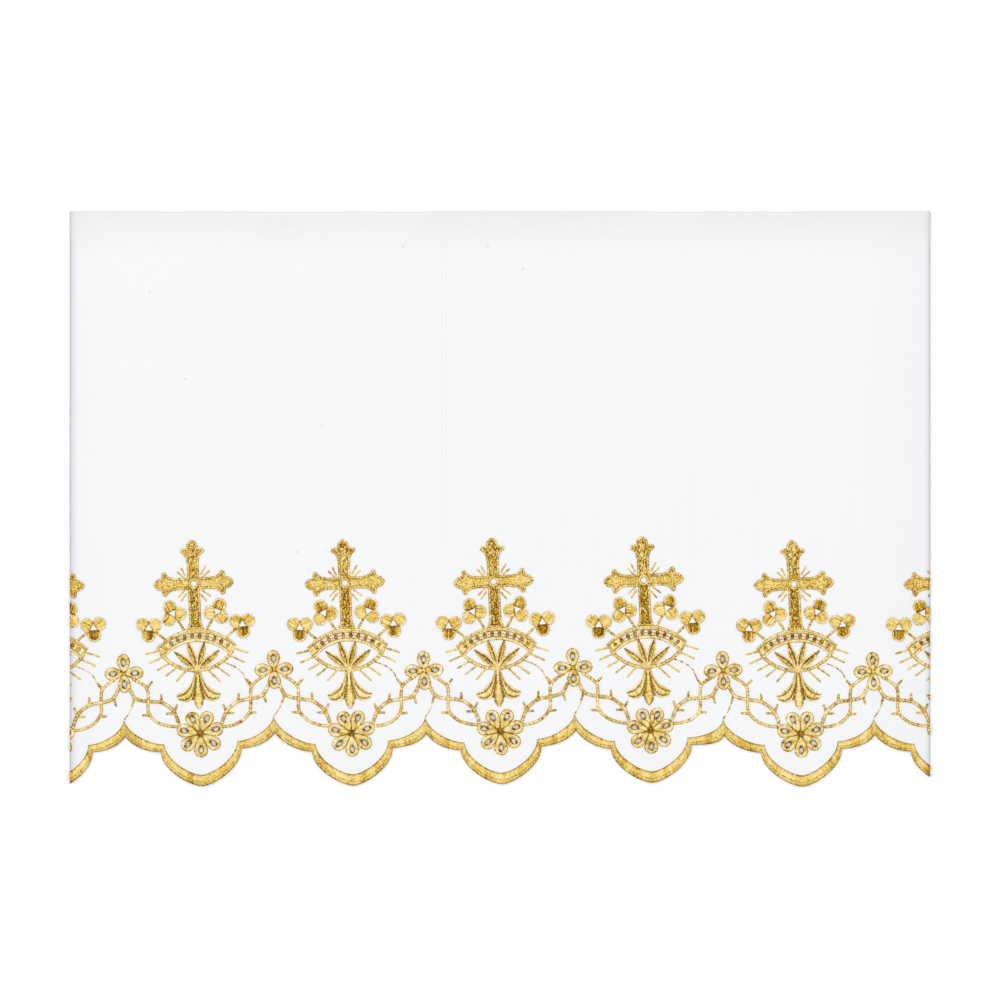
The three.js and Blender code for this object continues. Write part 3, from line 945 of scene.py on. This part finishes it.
def hand_over(piece, stem=None):
    """Every sewn piece rides on the one body, and takes the place of the solid it dresses."""
    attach(piece, "root")
    if stem:
        solids = [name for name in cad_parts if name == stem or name.startswith(stem + "_scrap")]
        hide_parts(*solids)


# %% [markdown]
# The scalloped edge is one unbroken band of satin. Its threads wrap round the raw edge of the linen, so
# the outer ends of the threads go right down to the table. A dark line of small stitches runs along each
# lobe about a third of the way in: there the needle held the threads down.


# %% Sew the scalloped edge
NEEDLE_LINE = {"share": 0.36, "steps": 24, "points": 46}  # it stops just short of each cusp


def half_needle_line(index, side):
    rails = [half_rail(rail, index, side, NEEDLE_LINE["steps"]) for rail in ("outer", "inner")]
    outer, inner = (rail[: NEEDLE_LINE["points"]] for rail in rails)
    return outer + (inner - outer) * NEEDLE_LINE["share"]


def sew_edge():
    sewing = Sewing(1)
    outer = whole_rail("outer")
    inner = whole_rail("inner")
    sewing.satin(outer, inner, tone=(0.60, 0.655), spread=0.07, dome=0.6, rows=8, wrap_a=0.06, rim_dark=0.5)
    for index in range(len(REPEATS)):
        left, right = (half_needle_line(index, side) for side in (-1, 1))
        needle_line = np.concatenate([left[::-1], right[1:]])
        fine = {"half_width": 0.28, "height": 0.16, "lift": 0.76}
        sewing.run(needle_line, stitch=0.9, gap=0.3, tone=0.34, spread=0.12, **fine)
    return sewing.finish("satin_edge")


edge = sew_edge()
hand_over(edge, "scallop_edge")
print("edge: faces", len(edge.data.polygons))


# %% [markdown]
# Each petal is a ring of satin round its eyelet. The inner ends of the threads go down through the hole.
# At both ends of an eyelet a short stitch lies across the threads; its near-black colour is painted shadow in
# the ends of the hole.


# %% Sew the flowers
PETAL_SATIN = {"ring": True, "tone": 0.71, "spread": 0.16, "patches": 0.14}
PETAL_SATIN |= {"dome": 0.5, "rows": 4, "wrap_a": 0.06, "rim_dark": 0.55}


def sew_flower(flower, middle, seed, name, heart):
    sewing = Sewing(seed)
    for turn in petal_turns(flower):
        eyelet, petal = petal_rails(flower, middle, turn)
        sewing.satin(eyelet, petal, **PETAL_SATIN)
        # A near-black stitch at each end of the eyelet: painted shadow.
        for end in (0, len(eyelet) // 2):
            turned = sewing.chance.integers(-4, 5)
            start, stop = eyelet[end + turned - 3], eyelet[(end + turned + 3) % len(eyelet)]
            sewing.stitch(start, stop, half_width=0.45, tone=sewing.chance.normal(0, 0.2), lift=0.45)
    circle = middle + heart["radius"] * np.exp(1j * np.linspace(0, 2 * math.pi, 16, endpoint=False))
    sewing.satin_fill(circle, 40, tone=heart["tone"], dome=0.5, lift=0.2, rows=3)
    return sewing.finish(name)


LARGE_HEART = {"radius": 1.5, "tone": 0.08}
SMALL_HEART = {"radius": 1.1, "tone": 0.42}
for index, middle in enumerate(REPEATS):
    name = f"large_flower_stitching_{index}"
    hand_over(sew_flower(LARGE_FLOWER, middle, 100 + index, name, LARGE_HEART), f"large_flower_{index}")
for index, middle in enumerate(SMALL_FLOWERS):
    name = f"small_flower_stitching_{index}"
    hand_over(sew_flower(SMALL_FLOWER, middle, 200 + index, name, SMALL_HEART), f"small_flower_{index}")
print("flowers:", len(REPEATS) + len(SMALL_FLOWERS))

# %% [markdown]
# A pierced eyelet is never quite clean. A few ends of linen thread stand into the hole, in the shade of the
# stitched ring, and make it look grey rather than white.


# %% Fray the eyelets
FRAYS = 3


def fray_eyelets():
    sewing = Sewing(50)
    for hole in EYELETS:
        middle = hole.mean()
        for _ in range(FRAYS):
            rim = hole[sewing.chance.integers(len(hole))]
            tip = middle + 0.5 * sewing.chance.normal() + 0.5j * sewing.chance.normal()
            if abs(tip - rim) > 0.4:
                sewing.stitch(rim, tip, half_width=0.13, height=0.16, lift=-0.3)
    return sewing.finish("frayed_linen", LINEN)


frays = fray_eyelets()
print("frayed ends: faces", len(frays.data.polygons))


# %% [markdown]
# The cross is drawn from one arm. A machine sews such a form in two goes: first it fills the shape with
# rows of run stitches, which run along each arm, and then it goes round the outline with narrow satin.
# The fill of the upright catches less light, so it is darker. A bare spot of linen marks the crossing.

# %% Draw the cross
CROSS = {"centre": 73.3j, "half_width": 2.7, "arm": 19.5, "top": 21.3, "post": 21.5}
ARM_END = [11.5 + 2.7j, 8.6 + 3.1j, 6.7 + 4.3j, 5.7 + 5.9j, 4.5 + 5.5j, 4.0 + 2.8j, 1.8 + 2.3j, 0.5 + 0.9j]
POST_FOOT = [-2.7 - 19.0j, -3.9 - 22.2j, 3.9 - 22.2j, 2.7 - 19.0j]
RIM = 1.0
RIM_GROWTH = 0.2
CROSS_EYE = 2.1
DOTS = {"stitch": 0.9, "gap": 0.4, "tone": 0.2, "spread": 0.2, "half_width": 0.16, "height": 0.2}


def arm_outline(reach, quarter_turns):
    upper = np.array([reach - row.real + 1j * row.imag for row in ARM_END])
    lower = upper.conj()
    return np.concatenate([lower, [reach + 0j], upper[::-1]]) * 1j**quarter_turns


def cross_outline():
    w = CROSS["half_width"]
    return np.concatenate(
        [
            [w - 1j * w],
            arm_outline(CROSS["arm"], 0),
            [w + 1j * w],
            arm_outline(CROSS["top"], 1),
            [-w + 1j * w],
            arm_outline(CROSS["arm"], 2),
            [-w - 1j * w],
            POST_FOOT,
        ]
    )


print("corners round a cross:", len(cross_outline()))

# %% [markdown]
# The cross is filled with rows of short stitches, and a narrow rim of satin runs round it. The rim needs
# lines that follow the outline at an even distance, so the outline is first divided evenly.


# %% Sew the crosses
def evenly(outline, step=0.25):
    closed = np.append(outline, outline[0])
    along = np.concatenate([[0], np.cumsum(abs(np.diff(closed)))])
    wanted = np.arange(0, along[-1], step)
    return np.interp(wanted, along, closed.real) + 1j * np.interp(wanted, along, closed.imag)


def rim_rails(outline, width, reach=3):
    """The outline and a line as far inside it as width, for an outline that runs anticlockwise."""
    path = evenly(outline)
    path = (np.roll(path, 1) + 2 * path + np.roll(path, -1)) / 4
    along = np.roll(path, -reach) - np.roll(path, reach)
    inwards = 1j * along / np.maximum(abs(along), 1e-6)
    return path - inwards * RIM_GROWTH, path + inwards * width


def sew_cross(index):
    sewing = Sewing(300 + index)
    at = lambda places: in_motif(index, np.asarray(places) + CROSS["centre"])
    lean = math.degrees(np.angle(MOTIF_LEAN))
    w = CROSS["half_width"]
    for quarter_turns in (0, 2):
        arm = np.concatenate([[CROSS_EYE - 1j * w], arm_outline(CROSS["arm"], 0), [CROSS_EYE + 1j * w]])
        arm = at(arm * 1j**quarter_turns)
        sewing.satin_fill(arm, lean + 90, tone=0.50, spread=0.12, dome=0.1, rows=4)
        sewing.brickwork(arm, lean, stitch=1.5, gap=0.25, tone=0.54, spread=0.15)
    post = at([-w - 21.9j, w - 21.9j, w - 1j * CROSS_EYE, -w - 1j * CROSS_EYE])
    head = np.concatenate([[CROSS_EYE - 1j * w], arm_outline(CROSS["top"], 0), [CROSS_EYE + 1j * w]]) * 1j
    for outline, tone in ((post, 0.23), (at(head), 0.38)):
        sewing.satin_fill(outline, lean, tone=tone, spread=0.12, dome=0.1, rows=6)
        sewing.brickwork(outline, lean + 90, stitch=1.5, tone=tone, spread=0.32)
    outside, within = rim_rails(at(cross_outline()), RIM)
    sewing.satin(outside, within, ring=True, tone=(0.58, 0.68), spread=0.16, dome=0.32, lift=0.16, rows=2)
    sewing.run(within, **DOTS, lift=0.35)
    ring = np.exp(1j * np.linspace(0, 2 * math.pi, 40, endpoint=False))
    sewing.satin(at(1.5 * ring), at(2.8 * ring), ring=True, tone=0.66, dome=0.3, lift=0.3, rows=2)
    return sewing.finish(f"cross_stitching_{index}")


for index in range(len(REPEATS)):
    hand_over(sew_cross(index), f"cross_{index}")
print("crosses:", len(REPEATS))

# %% [markdown]
# The arch is two strips of satin that run side by side, with a row of dark beads between them. Towards its
# ends the space between the strips is filled as well. A narrower line hangs below like a bowl, and four
# trefoils stand on the arch: each is three round leaves about a bare spot of linen.

# %% Draw the arch with its beads
ARCH_OUTER = {"centre": 24.9j, "radius": 26.4, "half_angle": 47}
ARCH_INNER = {"centre": 22.9j, "radius": 21.8, "half_angle": 47}
BOWL = {"centre": 52.3j, "radius": -21.5, "half_angle": 55}
BOWL_HALF_WIDTH = 0.85
LATTICE = {"angle": 0.0, "pitch": 0.7, "stitch": 1.7}
BEAD = {"pitch": 3.66, "count": 10, "half_length": 1.3, "half_width": 1.05}


def arc(form, steps=61):
    turn = np.radians(np.linspace(form["half_angle"], -form["half_angle"], steps))
    return form["centre"] + 1j * form["radius"] * np.exp(1j * turn)


def points_along(path, count, pitch):
    along = np.concatenate([[0], np.cumsum(abs(np.diff(path)))])
    wanted = along[-1] / 2 + (np.arange(count) - (count - 1) / 2) * pitch
    return np.interp(wanted, along, path.real) + 1j * np.interp(wanted, along, path.imag)


def ellipse(middle, half_length, half_width, way, steps=20):
    t = np.linspace(0, 2 * math.pi, steps, endpoint=False)
    return middle + way * (half_length * np.cos(t) + 1j * half_width * np.sin(t))


def sew_beads(sewing, middle_line, centre):
    beads = points_along(middle_line, BEAD["count"], BEAD["pitch"])
    for number, bead in enumerate(beads):
        way = (bead - centre) / abs(bead - centre)
        tone = 0.20 if 0 < number < len(beads) - 1 else 0.36
        outline = ellipse(bead, BEAD["half_length"], BEAD["half_width"], way)
        angle = math.degrees(np.angle(way)) + 90
        sewing.satin_fill(outline, angle, tone=tone, spread=0.14, dome=0.35, lift=0.1, rows=3)
    for bead, following in zip(beads, beads[1:]):
        way = (following - bead) / abs(following - bead)
        sewing.stitch(bead + way * 1.4, bead + way * 2.3, half_width=0.3, tone=0.15)


def sew_band(sewing, at):
    outer, inner = at(arc(ARCH_OUTER)), at(arc(ARCH_INNER))
    depth = abs(inner - outer)
    way = (inner - outer) / depth
    crown = 1 - np.linspace(-1, 1, len(outer)) ** 2
    upper, lower = outer + way * (1.1 + 1.1 * crown), inner - way * (1.0 + 0.8 * crown)
    sewing.satin(outer, upper, tone=0.76, spread=0.14, dome=0.4, rows=4, rim_dark=0.4)
    ridge = (outer + upper) / 2
    sewing.run(ridge, stitch=1.1, gap=0.1, tone=0.34, spread=0.16, half_width=0.16, height=0.14, lift=0.56)
    sewing.satin(lower, inner, tone=0.76, spread=0.14, dome=0.4, rows=4, rim_dark=0.4)
    for end in (slice(0, 10), slice(-10, None)):
        sewing.satin(upper[end], lower[end], tone=0.72, spread=0.26, dome=0.2, rows=4, rim_dark=0.1)
    for line in (upper, lower):
        sewing.run(line, **DOTS, lift=0.2)
    between = np.concatenate([upper, lower[::-1]])
    for _, start, stop in chords(between, LATTICE["angle"], LATTICE["pitch"]):
        sewing.run(np.array([start, stop]), stitch=LATTICE["stitch"], gap=0.5, tone=0.78, half_width=0.3)
    for end in (0, -1):
        cap = np.linspace(outer[end], inner[end], 12)
        sewing.satin_line(cap, 0.55, tone=0.58, dome=0.35, lift=0.1, rows=2)
    sew_beads(sewing, (upper + lower) / 2, at(ARCH_INNER["centre"]))


print("beads on an arch:", BEAD["count"])

# %% [markdown]
# Two trefoils stand on each half of the arch, on short stems. The three round leaves are filled with satin,
# one of them dark, and stop at a bare spot in the middle. The lighter rim is a second layer of satin.

# %% Sew the arches and their trefoils
TREFOILS = [
    {"middle": 10.8 + 59.2j, "turn": 66, "stem": (9.2 + 56.9j, 5.2 + 50.2j), "dark": 0, "dark_tone": 0.35},
    {"middle": 22.9 + 52.4j, "turn": 33, "stem": (20.7 + 51.4j, 14.3 + 46.0j), "dark": 2, "dark_tone": 0.24},
]
TREFOIL_LEAF = {"at": 3.4, "radius": 3.3, "gap": 1.0}
TREFOIL_RIM = {"depth": 1.0, "half_opening": 112, "steps": 40}


def leaf_outline(middle, turn):
    """A round leaf, cut straight where it meets the bare spot in the middle of its trefoil."""
    radius = TREFOIL_LEAF["radius"]
    outline = ellipse(middle + TREFOIL_LEAF["at"] * turn, radius, radius, turn, 32)
    turned = (outline - middle) / turn
    return middle + turn * (np.maximum(turned.real, TREFOIL_LEAF["gap"]) + 1j * turned.imag)


def sew_trefoil(sewing, at, row, side):
    middle = at(mirrored(row["middle"], side))
    stem = [at(mirrored(place, side)) for place in row["stem"]]
    sewing.satin_line(np.linspace(*stem, 20), 0.6, tone=0.56, spread=0.18, dome=0.3, rows=2)
    first = row["turn"] if side > 0 else 180 - row["turn"]
    for number in range(3):
        turn = np.exp(1j * math.radians(first + side * 120 * number)) * MOTIF_LEAN
        outline = leaf_outline(middle, turn)
        tone = row["dark_tone"] if number == row["dark"] else 0.58
        angle = math.degrees(np.angle(turn))
        sewing.satin_fill(outline, angle, tone=tone, spread=0.14, dome=0.35, rows=6)
        opening = TREFOIL_RIM["half_opening"]
        way = turn * np.exp(1j * np.radians(np.linspace(-opening, opening, TREFOIL_RIM["steps"])))
        start = middle + TREFOIL_LEAF["at"] * turn
        rim = start + TREFOIL_LEAF["radius"] * way
        within = start + (TREFOIL_LEAF["radius"] - TREFOIL_RIM["depth"]) * way
        sewing.satin(rim, within, tone=0.73, spread=0.16, dome=0.3, lift=0.22, rows=3, rim_dark=0.35)


def sew_arch(index):
    sewing = Sewing(400 + index)
    at = lambda places: in_motif(index, places)
    sew_band(sewing, at)
    sewing.satin_line(at(arc(BOWL)), BOWL_HALF_WIDTH, tone=0.62, spread=0.18, dome=0.35, rows=3)
    for row in TREFOILS:
        for side in (-1, 1):
            sew_trefoil(sewing, at, row, side)
    return sewing.finish(f"arch_stitching_{index}")


for index in range(len(REPEATS)):
    hand_over(sew_arch(index), f"arch_{index}")
print("arches:", len(REPEATS))

# %% [markdown]
# Four leaves open inside the bowl, dark within and light along the edge. A leaf is a straight line with a
# width that swells and narrows. Veins and edges are narrower lines of satin laid over it.

# %% Draw a leaf
LEAF_ROOT = 30.9j
LEAF_TIPS = [4.1 + 44.7j, 11.1 + 40.2j, -4.4 + 45.3j, -10.9 + 40.3j]


def smooth(points, steps=6):
    """A curve through points: each stretch is bent by the neighbours on both sides."""
    p = np.asarray(points, dtype=complex)
    before = np.concatenate([[2 * p[0] - p[1]], p[:-2]])
    after = np.concatenate([p[2:], [2 * p[-1] - p[-2]]])
    t = np.linspace(0, 1, steps, endpoint=False)[None, :]
    a, b, c, d = (v[:, None] for v in (before, p[:-1], p[1:], after))
    curve = 2 * b + (c - a) * t + (2 * a - 5 * b + 4 * c - d) * t**2 + (3 * b - a - 3 * c + d) * t**3
    return np.append((curve / 2).ravel(), p[-1])


def sew_leaf(sewing, at, tip):
    t = np.linspace(0, 1, 30)
    path = LEAF_ROOT + (tip - LEAF_ROOT) * t
    width = np.interp(t, [0, 0.2, 0.55, 0.85, 1], [0.5, 1.05, 1.45, 0.85, 0.2])
    across = 1j * (tip - LEAF_ROOT) / abs(tip - LEAF_ROOT)
    sewing.satin_line(at(path), width, tone=0.38, spread=0.20, dome=0.3, rows=3)
    shaded_side = math.copysign(0.35, tip.real)
    # Painted shade: a dark vein along the shaded side of each leaf.
    for stretch in (slice(4, 17), slice(17, 30)):
        vein = at(path + across * shaded_side * width)[stretch]
        sewing.satin_line(vein, 0.36, tone=0.03, spread=0.16, dome=0.2, lift=0.2, rows=2)
    vein = at(path - across * shaded_side * width)[6:24]
    sewing.satin_line(vein, 0.2, tone=0.74, spread=0.14, dome=0.2, lift=0.2, rows=2)
    for side in (-1, 1):
        edge = at(path + across * side * width)
        sewing.satin_line(edge[:-4], 0.34, tone=0.80, spread=0.14, dome=0.2, lift=0.28, rows=2)


print("leaves in a bowl:", len(LEAF_TIPS))

# %% [markdown]
# Below the leaves hangs the foot: two lobes that curl out and a straight one between them, parted by
# grooves. Each lobe is sewn in three strips, because one wide satin would look like a flat ribbon. The shade
# in the grooves and in the gaps between the strips is painted as lines of dark stitches.

# %% Sew the leaves and the foot
LOBE = {
    "upper": [1.4 + 31.2j, 2.0 + 28.4j, 2.9 + 26.0j, 4.3 + 23.9j, 6.4 + 21.9j, 8.6 + 20.3j, 11.0 + 19.2j],
    "lower": [0.5 + 30.0j, 0.9 + 27.4j, 1.5 + 23.6j, 2.5 + 19.2j, 3.7 + 16.5j, 6.6 + 15.6j, 9.7 + 16.6j],
}
LOBE_STRIPS = [(0.0, 0.2), (0.25, 0.765), (0.815, 1.0)]
LOBE_GAPS = [0.225, 0.79]
GROOVE_LINE = [0.85 + 28.5j, 1.0 + 26.5j, 1.4 + 24.0j, 2.2 + 20.6j, 2.85 + 16.6j]
CENTRE_LOBE = {"from": 31.0, "to": 12.2}
CENTRE_LOBE |= {"at": [0, 0.35, 0.6, 0.75, 0.88, 1], "width": [0.9, 1.0, 1.9, 2.5, 2.1, 0.5]}


def sew_foot(index):
    sewing = Sewing(500 + index)
    at = lambda places: in_motif(index, places)
    for tip in LEAF_TIPS:
        sew_leaf(sewing, at, tip)
    for side in (-1, 1):
        upper, lower = (at(mirrored(smooth(LOBE[rail]), side)) for rail in ("upper", "lower"))
        for start, end in LOBE_STRIPS:
            strip = [upper + (lower - upper) * share for share in (start, end)]
            sewing.satin(*strip, tone=0.73, spread=0.14, dome=0.4, rows=3, rim_dark=0.25)
        # Painted shade: dark stitches along the gaps between the strips.
        for share in LOBE_GAPS:
            line = (upper + (lower - upper) * share)[14:]
            sewing.run(line, stitch=0.95, tone=0.16, spread=0.12, half_width=0.14, height=0.22, lift=0.2)
    t = np.linspace(0, 1, 50)
    path = 1j * (CENTRE_LOBE["from"] + (CENTRE_LOBE["to"] - CENTRE_LOBE["from"]) * t)
    width = np.interp(t, CENTRE_LOBE["at"], CENTRE_LOBE["width"])
    sewing.satin_line(at(path), width, tone=0.66, spread=0.14, dome=0.5, lift=0.1, rows=4, rim_dark=0.4)
    for side in (-1, 1):
        # Painted shade: dark stitches along the edges of the middle lobe.
        contour = (path + side * 0.6 * width)[18:46]
        sewing.run(at(contour), stitch=0.95, tone=0.25, spread=0.12, half_width=0.16, height=0.2, lift=0.55)
        groove = at(mirrored(smooth(GROOVE_LINE), side))
        sewing.satin_line(groove, 0.6, tone=0.52, dome=0.1, rows=2)
        # Painted shade: a line of near-black stitches in the groove.
        sewing.run(groove, stitch=1.0, tone=0.0, spread=0.12, half_width=0.2, height=0.25, lift=0.5)
    return sewing.finish(f"foot_stitching_{index}")


for index in range(len(REPEATS)):
    stem = f"foot_{index}"
    held = any(name.startswith(stem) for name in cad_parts)
    hand_over(sew_foot(index), stem if held else None)
print("feet:", len(REPEATS))

# %% [markdown]
# Two thorny stems swing from each large flower up to each small one and cross on the way. They are drawn
# for one side, and bent so that their upper ends meet the small flower wherever it was sewn.

# %% Sew the vines
FLOWER_AT = 36.4 + 30.5j
UPPER_STEM = [
    32.2 + 27.8j, 28.3 + 25.4j, 25.4 + 22.5j, 24.8 + 17.6j, 25.0 + 12.7j,
    23.9 + 9.3j, 20.5 + 5.9j, 15.6 + 3.9j, 10.9 + 3.3j,
]
LOWER_STEM = [
    33.7 + 23.0j, 31.7 + 19.0j, 29.1 + 17.3j, 24.4 + 16.4j,
    19.0 + 15.6j, 15.1 + 13.2j, 12.5 + 10.3j, 10.4 + 4.8j,
]
THORNS = [
    (25.4 + 23.2j, 22.9 + 26.1j),
    (24.2 + 9.6j, 28.0 + 9.8j),
    (31.4 + 18.4j, 32.5 + 14.4j),
    (18.6 + 15.5j, 18.9 + 19.5j),
    (12.7 + 10.6j, 11.1 + 14.4j),
    (12.4 + 10.0j, 16.6 + 9.9j),
]


def on_vine(index, side, flower):
    stray = flower - REPEATS[index] - mirrored(FLOWER_AT, side)

    def at(places):
        places = np.asarray(places)
        share = fade(places.real, LARGE_FLOWER["at"], FLOWER_AT.real)
        return REPEATS[index] + mirrored(places, side) + share * stray

    return at


def sew_vine(index, side, flower, name):
    sewing = Sewing(600 + 2 * index + (side > 0))
    at = on_vine(index, side, flower)
    for number, stem in enumerate((UPPER_STEM, LOWER_STEM)):
        path = at(smooth(stem))
        over = 0.25 * number  # the lower stem lies over the upper one where they cross
        sewing.satin_line(path, 0.76, tone=0.62, spread=0.18, patches=0.12, dome=0.35, lift=over, rows=3)
    for root, tip in THORNS:
        path = at(np.linspace(root, tip, 12))
        sewing.satin_line(path, np.linspace(0.7, 0.5, 12), tone=0.52, spread=0.18, dome=0.25, rows=2)
    return sewing.finish(name)


SIDE_NAMES = {-1: "left", 1: "right"}
for index in range(len(REPEATS)):
    for side in (-1, 1):
        number = index if side > 0 else index - 1
        if 0 <= number < len(SMALL_FLOWERS):
            name = f"vine_stitching_{index}_{SIDE_NAMES[side]}"
            piece = sew_vine(index, side, SMALL_FLOWERS[number], name)
            hand_over(piece, f"vine_{index}_{SIDE_NAMES[side]}")

# %% [markdown]
# The finest lines are single run stitches: short rays about the crossing of each cross, longer rays below
# each bowl, and the travelling threads that the machine left where it went from one form to the next.

# %% Sew the rays
CROSS_RAYS = [
    (-3.9 + 77.1j, -5.8 + 81.4j),
    (-4.6 + 76.1j, -7.9 + 79.6j),
    (3.6 + 77.3j, 6.4 + 81.8j),
    (4.4 + 76.3j, 8.2 + 79.3j),
    (-3.8 + 70.7j, -8.0 + 66.8j),
    (-3.6 + 68.7j, -6.6 + 64.8j),
    (3.8 + 70.1j, 8.2 + 66.6j),
    (3.2 + 68.0j, 6.1 + 64.3j),
]
BOWL_RAYS = [
    (-18.2 + 41.3j, -25.3 + 39.8j),
    (-15.7 + 38.4j, -23.6 + 35.3j),
    (-12.0 + 35.7j, -19.8 + 31.7j),
    (-8.4 + 33.9j, -15.8 + 28.6j),
    (-4.8 + 31.7j, -10.6 + 25.9j),
    (18.5 + 40.7j, 25.4 + 38.2j),
    (15.0 + 38.0j, 23.3 + 33.7j),
    (8.6 + 32.9j, 15.7 + 27.4j),
    (4.6 + 31.4j, 10.9 + 24.9j),
]
TRAVEL = [12.9 + 34.3j, 18.4 + 31.8j, 21.9 + 28.6j, 23.3 + 25.3j, 25.1 + 21.9j]
CROSS_RAY = {"stitch": 2.4, "gap": 0.02, "tone": 0.44, "spread": 0.09, "half_width": 0.48}
BOWL_RAY = {"stitch": 3.2, "gap": 0.02, "tone": 0.46, "spread": 0.07, "half_width": 0.54}
LOOSE_THREAD = {"stitch": 1.6, "gap": 0.02, "tone": 0.42, "spread": 0.2, "half_width": 0.32}


def sew_rays(index):
    sewing = Sewing(700 + index)
    for start, end in CROSS_RAYS:
        sewing.run(in_motif(index, [start, end]), **CROSS_RAY)
    for start, end in BOWL_RAYS:
        sewing.run(in_motif(index, [start, end]), **BOWL_RAY)
    sewing.run(in_motif(index, smooth(TRAVEL)), **LOOSE_THREAD)
    if 0 < index < len(REPEATS):
        thorn = on_vine(index, -1, SMALL_FLOWERS[index - 1])(THORNS[2][1])
        cusp = CUSPS[index] + SMALL_LOBE["inner"]["cusp_at"]
        bulge = (thorn + cusp) / 2 + 0.5
        spike = smooth([thorn, bulge, cusp])
        sewing.run(spike, **LOOSE_THREAD)
    return sewing.finish(f"rays_{index}")


for index in range(len(REPEATS)):
    hand_over(sew_rays(index))

# %% [markdown]
# The linen and its frayed ends ride on the one body, and the plain solid of the cloth is hidden.

# %% Attach the linen and hide the plain cloth
for piece in (linen, frays):
    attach(piece, "root")
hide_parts("cloth")
